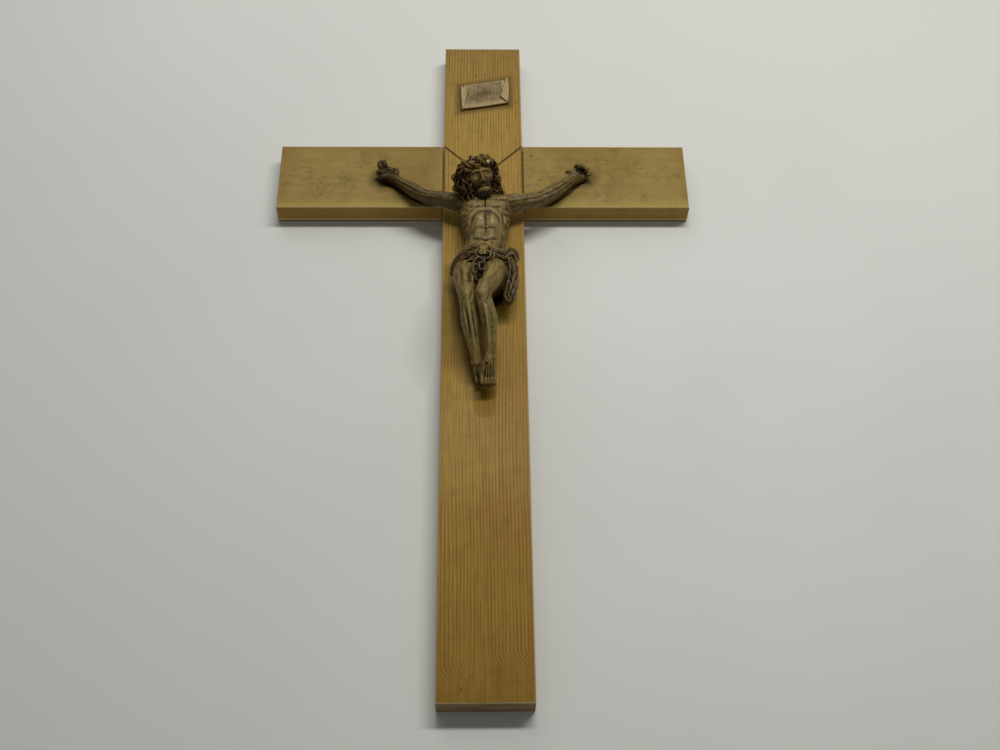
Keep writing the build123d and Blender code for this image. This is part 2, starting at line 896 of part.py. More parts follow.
# Screw from the back of the post into the hips
with BuildPart() as corpus_screw:
    with Locations(Location((corpus_screw_place.X, corpus_screw_place.Y, 0))):
        Cylinder(
            radius=corpus_screw_radius,
            height=corpus_screw_length,
            align=(Align.CENTER, Align.CENTER, Align.MIN),
        )
        Cone(
            bottom_radius=corpus_screw_head_radius,
            top_radius=corpus_screw_radius,
            height=corpus_screw_head_height,
            align=(Align.CENTER, Align.CENTER, Align.MIN),
        )
corpus_screw.part.label = "corpus_screw"

# Title scroll: a bare plate with a folded flap on each end
with BuildPart() as title_scroll:
    scroll_plane = Plane(
        origin=(scroll_side, post_top - scroll_drop, face),
        x_dir=(cos(radians(scroll_tilt)), sin(radians(scroll_tilt)), 0),
        z_dir=(0, 0, 1),
    )
    with BuildSketch(scroll_plane):
        Rectangle(scroll_width, scroll_height)
    extrude(amount=scroll_thickness)
    with BuildSketch(scroll_plane):
        for end in (-1, 1):
            with BuildLine():
                Polyline(
                    (end * scroll_width / 2, end * scroll_flap_root),
                    (end * (scroll_width / 2 + scroll_flap_reach), end * scroll_flap_top),
                    (end * (scroll_width / 2 + scroll_flap_reach), -end * scroll_flap_foot),
                    (end * (scroll_width / 2 - scroll_flap_width), -end * scroll_flap_fold),
                    close=True,
                )
            make_face()
    extrude(amount=scroll_thickness + scroll_flap_step)
title_scroll.part.label = "title_scroll"

pieces = (
    lower_post,
    top_post,
    crossbar,
    lap_screws,
    corpus_body,
    corpus_arm_right,
    corpus_arm_left,
    shoulder_dowels,
    crown_of_thorns,
    hand_nails,
    foot_nail,
    corpus_screw,
    title_scroll,
)
for piece in pieces:
    export_step(piece.part, f"parts/{piece.part.label}.step")
    print(piece.part.label, piece.part.bounding_box())
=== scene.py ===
import bpy
import numpy as np
from mathutils import Matrix


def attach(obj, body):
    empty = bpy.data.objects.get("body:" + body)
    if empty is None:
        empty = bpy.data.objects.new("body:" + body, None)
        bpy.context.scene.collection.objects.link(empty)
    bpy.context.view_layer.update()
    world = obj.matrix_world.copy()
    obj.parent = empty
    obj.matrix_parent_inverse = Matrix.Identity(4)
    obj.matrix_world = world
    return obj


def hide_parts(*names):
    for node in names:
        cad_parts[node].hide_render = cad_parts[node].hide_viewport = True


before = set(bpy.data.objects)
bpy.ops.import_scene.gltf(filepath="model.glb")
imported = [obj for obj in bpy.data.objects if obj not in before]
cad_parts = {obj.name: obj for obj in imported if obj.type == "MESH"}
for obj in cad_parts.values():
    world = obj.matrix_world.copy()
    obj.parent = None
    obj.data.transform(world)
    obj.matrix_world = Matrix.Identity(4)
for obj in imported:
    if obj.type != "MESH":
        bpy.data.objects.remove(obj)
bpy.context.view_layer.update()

# Places are worked out in millimetres and written to the meshes in metres
cross = dict(halfPost=22.25, barMiddle=100.25, halfBar=22.25, face=12.0)


def spot(x, drop, lift):
    # a place on the figure: to the right, below the line of the hand nails, above the front of the wood
    return np.array([x, cross["barMiddle"] - drop, cross["face"] + lift])


def spots(rows):
    return np.array([spot(*row) for row in rows])


def unit(v):
    return v / np.maximum(np.linalg.norm(v, axis=-1, keepdims=True), 1e-9)


def smoothStep(low, high, value):
    t = np.clip((value - low) / (high - low), 0, 1)
    return t * t * (3 - 2 * t)


def bell(value, middle, width):
    return np.exp(-((value - middle) / width) ** 2)


def curveThrough(points, count):
    # Catmull-Rom curve through the points: each span is the cubic that leaves and meets its ends along
    # their chords
    p = np.asarray(points, float)
    p = p[:, None] if p.ndim == 1 else p
    q = np.vstack([2 * p[0] - p[1], p, 2 * p[-1] - p[-2]])
    s = np.linspace(0, len(p) - 1, count)
    i = np.minimum(s.astype(int), len(p) - 2)
    t = (s - i)[:, None]
    a, b, c, d = (q[i + k] for k in range(4))
    curved = (2 * a - 5 * b + 4 * c - d) * t ** 2 + (3 * b - 3 * c + d - a) * t ** 3
    return 0.5 * (2 * b + (c - a) * t + curved)


def gridQuads(rows, cols):
    # faces of a grid that closes round its columns and runs from its first row to its last
    r, c = np.meshgrid(np.arange(rows - 1), np.arange(cols), indexing="ij")
    n = (c + 1) % cols
    return np.stack([r * cols + c, r * cols + n, (r + 1) * cols + n, (r + 1) * cols + c], -1).reshape(-1, 4)


def tube(points, radii, rows=26, sides=14, flat=1.0, up=(0.0, 0.0, 1.0), ridge=None):
    # round profile carried along a smooth path: middle(s) + radius(s) (cos t side + flat sin t across),
    # with domed ends
    path = curveThrough(points, rows)
    size = np.maximum(curveThrough(radii, rows)[:, 0], 0.04)
    flats = curveThrough(np.broadcast_to(np.asarray(flat, float), len(radii)), rows)[:, 0]
    along = unit(np.gradient(path, axis=0))
    side = unit(np.asarray(up, float) - along * (along @ np.asarray(up, float))[:, None])
    across = np.cross(along, side)
    dome = np.radians([88, 65, 42, 20])
    back, front = -np.sin(dome), np.sin(dome[::-1])
    step = np.concatenate([back * size[0] * min(flats[0], 1), np.zeros(rows),
                           front * size[-1] * min(flats[-1], 1)])
    scale = np.concatenate([np.cos(dome), np.ones(rows), np.cos(dome[::-1])])
    pick = np.concatenate([np.zeros(4, int), np.arange(rows), np.full(4, rows - 1)])
    t = np.linspace(0, 2 * np.pi, sides, endpoint=False)
    factor = np.ones((len(pick), sides))
    if ridge is not None:
        factor = ridge(np.linspace(0, 1, rows)[pick][:, None], t[None])
    reach = (size[pick] * scale)[:, None] * factor
    middle = path[pick] + along[pick] * step[:, None]
    places = (
        middle[:, None]
        + (reach * np.cos(t))[..., None] * side[pick][:, None]
        + (reach * np.sin(t) * flats[pick][:, None])[..., None] * across[pick][:, None]
    )
    return places.reshape(-1, 3), gridQuads(len(pick), sides)


def blob(middle, radii, rows=18, cols=24, axes=np.eye(3)):
    # ellipsoid: middle + rx cos u cos t + ry sin u + rz cos u sin t along the axes
    u = np.linspace(np.pi / 2, -np.pi / 2, rows)[:, None]
    t = np.linspace(0, 2 * np.pi, cols, endpoint=False)[None]
    local = np.stack([np.cos(u) * np.cos(t), np.sin(u) + 0 * t, np.cos(u) * np.sin(t)],
                     -1) * np.asarray(radii)
    return np.asarray(middle) + (local @ np.asarray(axes)).reshape(-1, 3), gridQuads(rows, cols)


def stations(table, rows, cols):
    # trunk form: at each level a superellipse about its own middle, levels joined by smooth curves
    drop, x, half, low, high, square = curveThrough(table, rows).T
    t = np.linspace(0, 2 * np.pi, cols, endpoint=False)
    power = (2 / square)[:, None]
    c, s = np.cos(t)[None], np.sin(t)[None]
    wide = np.sign(c) * np.abs(c) ** power * half[:, None] + x[:, None]
    deep = np.sign(s) * np.abs(s) ** power * ((high - low) / 2)[:, None] + ((high + low) / 2)[:, None]
    places = np.stack([wide, cross["barMiddle"] - drop[:, None] + 0 * wide, cross["face"] + deep], -1)
    return places.reshape(-1, 3), gridQuads(rows, cols)


def joinShells(shells):
    starts = np.cumsum([0] + [len(places) for places, quads in shells[:-1]])
    quads = np.vstack([faces + start for (places, faces), start in zip(shells, starts)])
    return np.vstack([places for places, faces in shells]), quads


def meshFrom(name, places, quads, scale=0.001):
    mesh = bpy.data.meshes.new(name)
    mesh.vertices.add(len(places))
    mesh.vertices.foreach_set("co", (np.asarray(places) * scale).ravel())
    mesh.loops.add(quads.size)
    mesh.loops.foreach_set("vertex_index", quads.ravel().astype(np.int32))
    mesh.polygons.add(len(quads))
    mesh.polygons.foreach_set("loop_start", np.arange(0, quads.size, quads.shape[1], dtype=np.int32))
    mesh.update(calc_edges=True)
    mesh.polygons.foreach_set("use_smooth", np.ones(len(quads), bool))
    return mesh


def linked(name, data):
    # a new object at the origin, put into the scene
    made = bpy.data.objects.new(name, data)
    bpy.context.scene.collection.objects.link(made)
    return made


def neighbourMean(places, links, count):
    sums = [np.bincount(links[:, 0], weights=places[links[:, 1], k], minlength=len(places)) for k in range(3)]
    return np.stack(sums, -1) / count[:, None]


def relax(places, quads, steps, keepSize=True):
    # each place moves half way to the mean of its neighbours, then as far back, so the form doesn't shrink
    pairs = np.vstack([quads[:, [k, (k + 1) % 4]] for k in range(4)])
    links = np.vstack([pairs, pairs[:, ::-1]])
    count = np.maximum(np.bincount(links[:, 0], minlength=len(places)), 1)
    for step in range(steps):
        places = places + 0.5 * (neighbourMean(places, links, count) - places)
        if keepSize:
            places = places - 0.52 * (neighbourMean(places, links, count) - places)
    return places


def normalsOf(places, quads):
    across = np.cross(places[quads[:, 2]] - places[quads[:, 0]], places[quads[:, 3]] - places[quads[:, 1]])
    total = np.zeros_like(places)
    for k in range(4):
        total += np.stack(
            [np.bincount(quads[:, k], weights=across[:, axis], minlength=len(places)) for axis in range(3)],
            -1
        )
    return unit(total)


def fuseShells(shells, voxel, smoothing=2):
    # one skin round closed shells that run into each other, on a grid of voxels
    holder = linked("union", meshFrom("union", *joinShells(shells), scale=1.0))
    change = holder.modifiers.new("union", "REMESH")
    change.mode = "VOXEL"
    change.voxel_size = voxel
    made = bpy.data.meshes.new_from_object(holder.evaluated_get(bpy.context.evaluated_depsgraph_get()))
    places = np.zeros(len(made.vertices) * 3)
    made.vertices.foreach_get("co", places)
    quads = np.zeros(len(made.loops), np.int32)
    made.loops.foreach_get("vertex_index", quads)
    old = holder.data
    bpy.data.objects.remove(holder)
    bpy.data.meshes.remove(old)
    bpy.data.meshes.remove(made)
    places, quads = places.reshape(-1, 3), quads.reshape(-1, 4)
    return relax(places, quads, smoothing), quads


def carve(places, quads, strokes):
    # a stroke is a line of (x, drop), a width and a depth: the skin moves in by depth exp(-(distance /
    # width)^2),
    # which fades towards the ends of a long line
    normals = normalsOf(places, quads)
    flat = np.stack([places[:, 0], cross["barMiddle"] - places[:, 1]], -1)
    shift = np.zeros(len(places))
    for line, width, depth in strokes:
        line = curveThrough(line, 6 * len(line)) if len(line) > 2 else np.asarray(line, float)
        distance = np.full(len(places), 1e9)
        near = np.all((flat > line.min(0) - 3 * width) & (flat < line.max(0) + 3 * width), axis=1)
        at = flat[near]
        best = np.full(len(at), 1e9)
        run = np.zeros(len(at))
        for k, (a, b) in enumerate(zip(line[:-1], line[1:])):
            t = np.clip(((at - a) @ (b - a)) / max((b - a) @ (b - a), 1e-9), 0, 1)
            away = np.linalg.norm(at - a - t[:, None] * (b - a), axis=1)
            run = np.where(away < best, (k + t) / (len(line) - 1), run)
            best = np.minimum(best, away)
        distance[near] = best
        fade = np.ones(len(places))
        if np.linalg.norm(np.diff(line, axis=0), axis=1).sum() > 4 * width:
            fade[near] = smoothStep(-0.05, 0.3, run) * smoothStep(1.05, 0.7, run)
        shift += depth * fade * np.exp(-(distance / width) ** 2)
    facing = smoothStep(0.0, 0.4, normals[:, 2])
    return places - normals * (shift * facing)[:, None]


def recessOf(places, quads):
    # how far each place lies below its smoothed surroundings, near and wide, as 0 to 1 about 0.5
    normals = normalsOf(places, quads)
    near = relax(places, quads, 5, False)
    wide = relax(near, quads, 40, False)
    value = ((near - places) * normals).sum(1) / 0.26 + ((wide - places) * normals).sum(1) / 1.1
    return np.clip(0.5 + 0.5 * value, 0, 1)


def pieceFrom(name, places, quads, finish, replaced, recessShift=0.0):
    # a carved piece in the place of CAD nodes; the last argument adds to its recess, so it is darker there
    # and lighter where it is negative: it carries painted light and shade as well as the carving's own tone
    mesh = meshFrom(name, places, quads)
    field = mesh.attributes.new("recess", "FLOAT", "POINT")
    field.data.foreach_set("value", recessOf(places, quads) + recessShift)
    mesh.materials.append(finish)
    piece = linked(name, mesh)
    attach(piece, "root")
    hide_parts(*replaced)
    print("piece", name, len(quads) * 2, "triangles")


# Finishes are made of fields: numbers or colours that vary over a surface, whose sums and products are nodes

class Field:
    def __init__(self, tree, socket):
        self.tree = tree
        self.socket = socket

    def math(self, operation, *others):
        return add(self.tree, "Math", (self, *others), operation=operation)

    def __add__(self, other):
        return self.math("ADD", other)

    def __sub__(self, other):
        return self.math("SUBTRACT", other)

    def __rsub__(self, other):
        return add(self.tree, "Math", (other, self), operation="SUBTRACT")

    def __mul__(self, other):
        return self.math("MULTIPLY", other)

    def __truediv__(self, other):
        return self.math("DIVIDE", other)

    def __abs__(self):
        return self.math("ABSOLUTE")

    def most(self, other):
        return self.math("MAXIMUM", other)

    def least(self, other):
        return self.math("MINIMUM", other)

    def ranged(self, low, high, first=0.0, last=1.0, **settings):
        # first at low, last at high, in a straight line between them
        return add(self.tree, "MapRange", (self, low, high, first, last), **settings)


def add(tree, kind, inputs=(), out=0, **settings):
    made = tree.nodes.new("ShaderNode" + kind)
    for key, value in settings.items():
        setattr(made, key, value)
    for key, value in inputs.items() if isinstance(inputs, dict) else enumerate(inputs):
        if isinstance(value, Field):
            tree.links.new(value.socket, made.inputs[key])
        else:
            made.inputs[key].default_value = value
    return Field(tree, made.outputs[out]) if made.outputs else None


def newFinish(name):
    # an empty material, and the place on the piece that its nodes read
    finish = bpy.data.materials.new(name)
    finish.use_nodes = True
    finish.node_tree.nodes.clear()
    return finish, add(finish.node_tree, "TexCoord", out=3)


def millimetres(place):
    return [add(place.tree, "SeparateXYZ", [place], out=k) * 1000.0 for k in range(3)]


def noise(place, scale, detail, roughness=0.5):
    # one scale, or three for noise that is drawn out along an axis
    if np.ndim(scale):
        place, scale = add(place.tree, "Mapping", {"Vector": place, "Scale": scale}), 1.0
    return add(place.tree, "TexNoise", {"Vector": place, "Scale": scale, "Detail": detail,
                                        "Roughness": roughness})


def mixed(amount, first, second, blend="MIX"):
    # the first colour where amount is 0, the second where it is 1
    tree = amount.tree if isinstance(amount, Field) else first.tree
    return add(tree, "Mix", {0: amount, 6: first, 7: second}, out=2, data_type="RGBA", blend_type=blend)


def times(colour, tint):
    return mixed(1.0, colour, tint, "MULTIPLY")


def ramp(amount, *stops):
    # stops are (place, colour) or (place, level of grey)
    made = amount.tree.nodes.new("ShaderNodeValToRGB")
    amount.tree.links.new(amount.socket, made.inputs[0])
    elements = made.color_ramp.elements
    while len(elements) < len(stops):
        elements.new(0.5)
    for element, (place, colour) in zip(elements, stops):
        element.position = place
        element.color = colour if np.ndim(colour) else (colour, colour, colour, 1.0)
    return Field(amount.tree, made.outputs[0])


def toned(red, green, blue):
    # a colour given as a picture shows it, 0 to 255, turned to the linear scale that shaders use
    c = np.array([red, green, blue]) / 255
    return (*np.where(c <= 0.04045, c / 12.92, ((c + 0.055) / 1.055) ** 2.4), 1.0)


def finishEnd(colour, roughness, height, look):
    tree = colour.tree
    bump = add(tree, "Bump", {"Strength": look["bump"], "Distance": look["bumpHeight"], "Height": height})
    shader = add(tree, "BsdfPrincipled", {
        "Base Color": colour, "Roughness": roughness, "Normal": bump,
        "Coat Weight": look["coat"], "Coat Roughness": look["coatRoughness"],
        "Metallic": look.get("metal", 0.0), "Specular IOR Level": look.get("shine", 0.5)})
    add(tree, "OutputMaterial", [shader])


def dress(node, finish):
    # a CAD node keeps its shape and gets a finish
    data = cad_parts[node].data
    data.materials.clear()
    data.materials.append(finish)


# Camera, table and light
camera = dict(lens=45.637, place=(-0.003823, -0.366361, 0.563928), right=(0.99983, -0.01075, 0.01501),
              up=(0.00139, 0.85438, 0.51964), back=(-0.01841, -0.51953, 0.85425))
eye = bpy.data.cameras.new("camera")
eye.lens = camera["lens"]
eye.sensor_width = 36.0
eye.clip_start = 0.01
eyeObject = linked("camera", eye)
turn = Matrix((camera["right"], camera["up"], camera["back"])).transposed().to_4x4()
eyeObject.matrix_world = Matrix.Translation(camera["place"]) @ turn
bpy.context.scene.camera = eyeObject

studio = dict(world=(0.98, 1.0, 1.0, 1.0), worldStrength=0.13, floorReach=3.0,
              floorLight=toned(228, 229, 220), floorDark=toned(221, 222, 213),
              keyPlace=(0.33, 0.46, 0.98), keySize=(0.9, 0.12), keyPower=7.3,
              fillPlace=(-0.36, 1.0, 0.78), fillSize=(0.9, 0.9), fillPower=3.0)
corners = studio["floorReach"] * np.array([[-1, -1, 0], [1, -1, 0], [1, 1, 0], [-1, 1, 0]])
floorMesh = meshFrom("floor", corners, np.array([[0, 1, 2, 3]]), 1.0)
floor = linked("floor", floorMesh)
finish, place = newFinish("paleTable")
mottle = noise(place, 6.0, 3.0)
colour = mixed(mottle, studio["floorLight"], studio["floorDark"])
finishEnd(colour, ramp(mottle, (0.3, 0.5), (0.7, 0.62)), mottle,
          dict(coat=0.0, coatRoughness=0.1, bump=0.02, bumpHeight=0.001))
floorMesh.materials.append(finish)

world = bpy.data.worlds.new("studio")
bpy.context.scene.world = world
world.use_nodes = True
world.node_tree.nodes["Background"].inputs[0].default_value = studio["world"]
world.node_tree.nodes["Background"].inputs[1].default_value = studio["worldStrength"]
for name in ("key", "fill"):
    # a long and a square soft box above the head end, level from side to side
    lamp = bpy.data.lights.new(name, "AREA")
    lamp.shape = "RECTANGLE"
    lamp.size, lamp.size_y = studio[name + "Size"]
    lamp.energy = studio[name + "Power"]
    away = unit(np.array(studio[name + "Place"]) * (0.0, 1.0, 1.0))
    basis = Matrix([(1.0, 0.0, 0.0), list(np.cross(away, (1.0, 0.0, 0.0))), list(away)]).transposed()
    linked(name, lamp).matrix_world = Matrix.Translation(studio[name + "Place"]) @ basis.to_4x4()
bpy.context.scene.view_settings.view_transform = "Standard"
print("stage: camera, table and light")


# Varnished pine

def pineFinish(name, look):
    finish, place = newFinish(name)
    x, y, z = millimetres(place)
    upright = look["upright"]
    across, along = (x, y) if upright else (y, x)
    end = abs(along)
    # year rings: waves across the lath that wander, and swing to the right towards the foot of the post
    rings = across + (noise(place, look["driftScale"], 2.0) - 0.5) * look["drift"]
    if upright:
        foot = (x * look["swirlLean"] - (y + look["swirlFrom"])).most(0.0)
        bend = (foot * foot + look["swirl"] ** 2).math("SQRT")
        rings = rings - (bend - look["swirl"])
    wave = (rings * (2 * np.pi / look["ringStep"])).math("SINE")
    patch = noise(place, look["patchScale"], 3.0)
    strength = patch.ranged(0.35, 0.65, 0.25, 1.0)
    strength = strength * y.ranged(*look["ringFade"]) * y.ranged(*look["ringBoost"])
    fibre = (noise(place, look["fibreScale"], 4.0) - 0.5) * look["fibreDepth"]
    tone = wave * strength * look["ringDepth"] + (fibre + 0.5)
    colour = ramp(tone, (0.15, look["dark"]), (0.5, look["middle"]), (0.9, look["light"]))
    # blotches of two tints, coarse and fine, and dark specks
    stain = noise(place, look["stainScale"], 4.0, 0.6)
    colour = mixed(ramp(stain, (0.45, 0.0), (0.72, look["stainDepth"])), colour, look["stain"])
    fleck = noise(place, look["fleckScale"], 3.0, 0.7)
    colour = mixed(ramp(fleck, (0.5, 0.0), (0.75, look["fleckDepth"])), colour, look["fleck"])
    speck = noise(place, look["speckScale"], 1.0)
    speck = ramp(speck, (look["speckFrom"], 0.0), (look["speckFrom"] + 0.06, 0.6))
    colour = mixed(speck, colour, look["speck"])
    # the varnish is darker and redder towards the edges, on the bar towards its ends too
    side = abs(x) if upright else abs(y - cross["barMiddle"])
    rim = side.ranged(cross["halfPost"] - 3.5, cross["halfPost"], 0.0, look["rimDepth"])
    if not upright:
        rim = rim.most(end.ranged(look["endAt"] - 7.0, look["endAt"], 0.0, look["rimDepth"]))
    colour = mixed(rim, colour, look["rim"])
    if upright:  # orange streaks beside the edges near the foot, and a tone that changes from foot to top
        streak = abs(side - (cross["halfPost"] - 1.7)).ranged(0.1, 0.7, 0.6, 0.0) * patch.ranged(0.46, 0.6)
        streak = streak * y.ranged(-150.0, -120.0, 1.0, 0.0) * y.ranged(-188.0, -178.0)
        colour = mixed(streak, colour, look["streak"])
        colour = times(colour, ramp(y.ranged(-200.0, 200.0), *look["levels"]))
    # glue lines of the crossing: beside the post and along the V
    rise = y - cross["barMiddle"]
    reach = abs(x)
    gap = abs(reach - cross["halfPost"]).least(abs(rise - reach) * 0.707)
    gap = gap.most(abs(rise) - cross["halfBar"])
    colour = mixed(ramp(gap, (0.5, look["glue"]), (1.15, 0.0)), colour, look["glueColour"])
    # marks on the front alone
    ragged = (stain - 0.5) * 1.6
    front = z.ranged(cross["face"] - 1.0, cross["face"] - 0.3)
    if upright:  # a painted reflection of the feet in the varnish under the toes: (dx / rx)^4 + (dy / ry)^4 < 1
        footReflection = look["footReflection"]
        dx = (x - footReflection["middle"][0]) / footReflection["half"][0]
        dy = (y - footReflection["middle"][1]) / footReflection["half"][1]
        away = abs(dx).math("POWER", 4.0) + abs(dy).math("POWER", 4.0) + ragged * 0.3
        colour = mixed(away.ranged(0.6, 1.3, 1.0, 0.0) * front, colour, times(colour, footReflection["tint"]))
    else:  # painted highlight: a pale band along the lower edge of the bar's front
        colour = mixed(y.ranged(*look["lowEdgeHighlightAt"]) * front, colour, look["lowEdgeHighlight"])
    for gx, gy, rx, ry, depth in look["grimeAndShade"]:  # dark ellipses round the carved pieces: grime round the hands, painted shadow under the feet
        dx, dy = (x - gx) / rx, (y - gy) / ry
        halo = ramp(dx * dx + dy * dy + ragged, (0.05, depth), (1.0, 0.0))
        colour = mixed(halo * front, colour, look["speck"])
    for line, width, depth in look["paintedShadows"]:  # painted shadows along lines: the nearest distance to the stretches of a line
        away = None
        for (ax, ay), (bx, by) in zip(line[:-1], line[1:]):
            ux, uy = bx - ax, by - ay
            dx, dy = x - ax, y - ay
            share = add(x.tree, "Clamp", [(dx * ux + dy * uy) / (ux * ux + uy * uy)])
            dx, dy = dx - share * ux, dy - share * uy
            stretch = (dx * dx + dy * dy).math("SQRT")
            away = away.least(stretch) if away else stretch
        halo = (away + ragged).ranged(0.25 * width, width, depth, 0.0, interpolation_type="SMOOTHSTEP")
        colour = mixed(halo * front, colour, look["paintedShadow"])
    for gx, gy, halfLength, halfHeight, slant, depth in look["frames"]:  # a frame round the slanting scroll
        dx = x - gx
        dy = y - gy - dx * slant
        away = (abs(dx) - halfLength).most(abs(dy) - halfHeight) + ragged
        colour = mixed(away.ranged(0.2, 4.0, depth, 0.0) * front, colour, look["speck"])
    # painted light: the sides of the lath are paler and redder, and darken towards the front
    depth = z / cross["face"]
    sideLit = times(times(colour, look["sidePaintedLight"]), ramp(depth, (0.1, 1.0), (0.9, 0.84)))
    colour = mixed(front, sideLit, colour)
    # sawn ends
    layers = noise(place, (50.0, 50.0, 900.0), 3.0)
    sawn = end.math("GREATER_THAN", look["endAt"] - 0.1) * 0.85
    colour = mixed(sawn, colour, ramp(layers, (0.35, look["endDark"]), (0.65, look["endColour"])))
    # pale edges, partly wear and partly painted highlight: above the sawn ends, at the back (faint except low
    # on the bar) and along the front
    edge = (look["endAt"] - end).most(cross["face"] - z) + ragged * 0.6
    colour = mixed(ramp(edge, (0.4, look["endEdgeWearAndHighlight"]), (0.7, 0.0)), colour, look["edgeWearAndHighlight"])
    pale = look["backLine"]
    back = ramp(depth, (0.05, 0.0), (0.07, pale), (0.15, pale), (0.2, 0.0)) * y.ranged(78.3, 78.6, 1.0, 0.25)
    colour = mixed(back, colour, look["edgeWearAndHighlight"])
    # painted shadow: a dark line along the foot of the sides, where they meet the table
    colour = mixed(ramp(depth, (0.04, pale), (0.055, 0.0)), colour, look["paintedShadow"])
    brim = (cross["halfPost"] - side).most(cross["face"] - z).most(cross["halfBar"] - abs(rise))
    colour = mixed(ramp(brim, (0.45, look["brim"]), (0.75, 0.0)), colour, look["edgeWearAndHighlight"])
    finishEnd(colour, stain.ranged(0.3, 0.8, look["rough"], look["rough"] + 0.12), tone, look)
    return finish


pine = dict(
    drift=6.0, patchScale=34.0, ringFade=(-196.0, -170.0, 0.45, 1.0), ringBoost=(-160.0, -90.0, 1.6, 1.05),
    paintedShadow=toned(38, 25, 8), glue=0.75, glueColour=toned(88, 60, 22), shine=0.1, bump=0.12, bumpHeight=0.0002,
)
postPine = dict(
    pine, upright=True, ringStep=1.7, ringDepth=0.22, driftScale=(26.0, 7.0, 20.0),
    swirlFrom=178.0, swirl=7.0, swirlLean=0.22, fibreScale=(900.0, 40.0, 900.0), fibreDepth=0.9,
    dark=toned(144, 110, 36), middle=toned(171, 138, 56), light=toned(190, 158, 76),
    stain=toned(156, 112, 46), stainScale=16.0, stainDepth=0.5,
    fleck=toned(132, 104, 46), fleckScale=150.0, fleckDepth=0.4,
    speck=toned(62, 42, 16), speckScale=330.0, speckFrom=0.75,
    rim=toned(156, 110, 40), rimDepth=0.35, sidePaintedLight=(1.24, 1.19, 1.1, 1.0), streak=toned(178, 112, 30),
    levels=[(0.0, (0.72, 0.66, 0.56, 1.0)), (0.3, (0.93, 0.9, 0.86, 1.0)), (0.6, (1.0, 1.0, 1.08, 1.0)),
            (0.7, (1.0, 1.0, 1.2, 1.0)), (0.85, (0.93, 0.94, 1.12, 1.0)), (1.0, (0.74, 0.75, 1.0, 1.0))],
    endAt=200.0, endColour=toned(178, 154, 116), endDark=toned(112, 94, 66),
    edgeWearAndHighlight=toned(214, 192, 146), endEdgeWearAndHighlight=0.95, brim=0.3, backLine=0.0,
    rough=0.5, coat=0.03, coatRoughness=0.2,
    # painted reflection of the feet below the toes
    footReflection=dict(middle=(0.2, -45.0), half=(5.6, 10.4), tint=(0.76, 0.7, 0.2, 1.0)),
    # painted shadow under the feet: middle, half axes, depth
    grimeAndShade=((1.0, -41.0, 8.5, 6.0, 0.5),),
    # painted shadows, each a line, width and depth: between the shins, twice beside the leg, under the thigh,
    # under the toes
    paintedShadows=(
        (((-4.6, 10.1), (-3.1, 5.2), (-2.2, -1.0), (-1.5, -8.0), (-0.8, -15.0), (-0.1, -21.0), (0.1, -26.0)),
         3.3, 0.8),
        (((-15.8, 26.0), (-13.4, 12.3), (-11.8, -1.0), (-8.1, -15.0), (-5.6, -26.1), (-4.9, -33.6)),
         2.6, 0.4),
        (((-17.0, 36.0), (-16.0, 26.0), (-13.4, 12.3), (-11.8, -1.0), (-8.1, -15.0), (-5.6, -26.1),
          (-4.9, -33.6)), 6.0, 0.4),
        (((12.0, 20.5), (8.8, 16.9), (6.6, 15.1), (5.1, 14.2)), 5.0, 1.0),
        (((-3.6, -35.4), (-1.0, -36.4), (2.5, -37.0), (5.4, -36.2)), 2.0, 0.75),
    ),
    # middle, half length and height, slant, depth
    frames=((0.85, 161.8, 13.9, 9.9, 0.19, 0.65),),
)
barPine = dict(
    pine, upright=False, ringStep=6.0, ringDepth=0.04, driftScale=(4.0, 14.0, 20.0),
    fibreScale=(90.0, 420.0, 420.0), fibreDepth=0.5,
    dark=toned(138, 113, 53), middle=toned(158, 134, 72), light=toned(176, 152, 90),
    stain=toned(136, 108, 50), stainScale=26.0, stainDepth=0.7,
    fleck=toned(118, 98, 48), fleckScale=120.0, fleckDepth=0.7,
    speck=toned(66, 48, 22), speckScale=(300.0, 620.0, 620.0), speckFrom=0.71,
    rim=toned(146, 110, 50), rimDepth=0.45, sidePaintedLight=(1.5, 1.44, 1.36, 1.0),
    # painted highlight along the lower front edge
    lowEdgeHighlight=toned(188, 166, 88), lowEdgeHighlightAt=(85.0, 79.0, 0.0, 0.55),
    endAt=114.5, endColour=toned(104, 90, 66), endDark=toned(80, 66, 46),
    edgeWearAndHighlight=toned(240, 220, 160), endEdgeWearAndHighlight=0.2, brim=0.4, backLine=0.9,
    rough=0.52, coat=0.04, coatRoughness=0.25,
    # grime round the hands: middle, half axes, depth
    grimeAndShade=((-55.5, 97.0, 10.5, 9.0, 0.7), (55.5, 99.5, 11.5, 9.5, 0.75)),
    paintedShadows=(  # painted shadows below both forearms
        (((-59.2, 97.6), (-55.0, 95.0), (-49.9, 92.6), (-44.8, 88.5), (-39.7, 84.7), (-34.7, 81.5),
          (-29.7, 79.6), (-22.8, 77.8)), 2.4, 0.95),
        (((56.8, 97.0), (51.4, 91.4), (46.9, 87.0), (41.6, 82.6), (36.2, 79.0), (30.6, 77.3), (24.3, 75.8)),
         1.4, 0.75),
    ),
    frames=(),
)
for node, look in (("lower_post", postPine), ("top_post", postPine), ("crossbar", barPine)):
    dress(node, pineFinish(node + "Pine", look))
print("stage: pine")


# Carved and lacquered wood

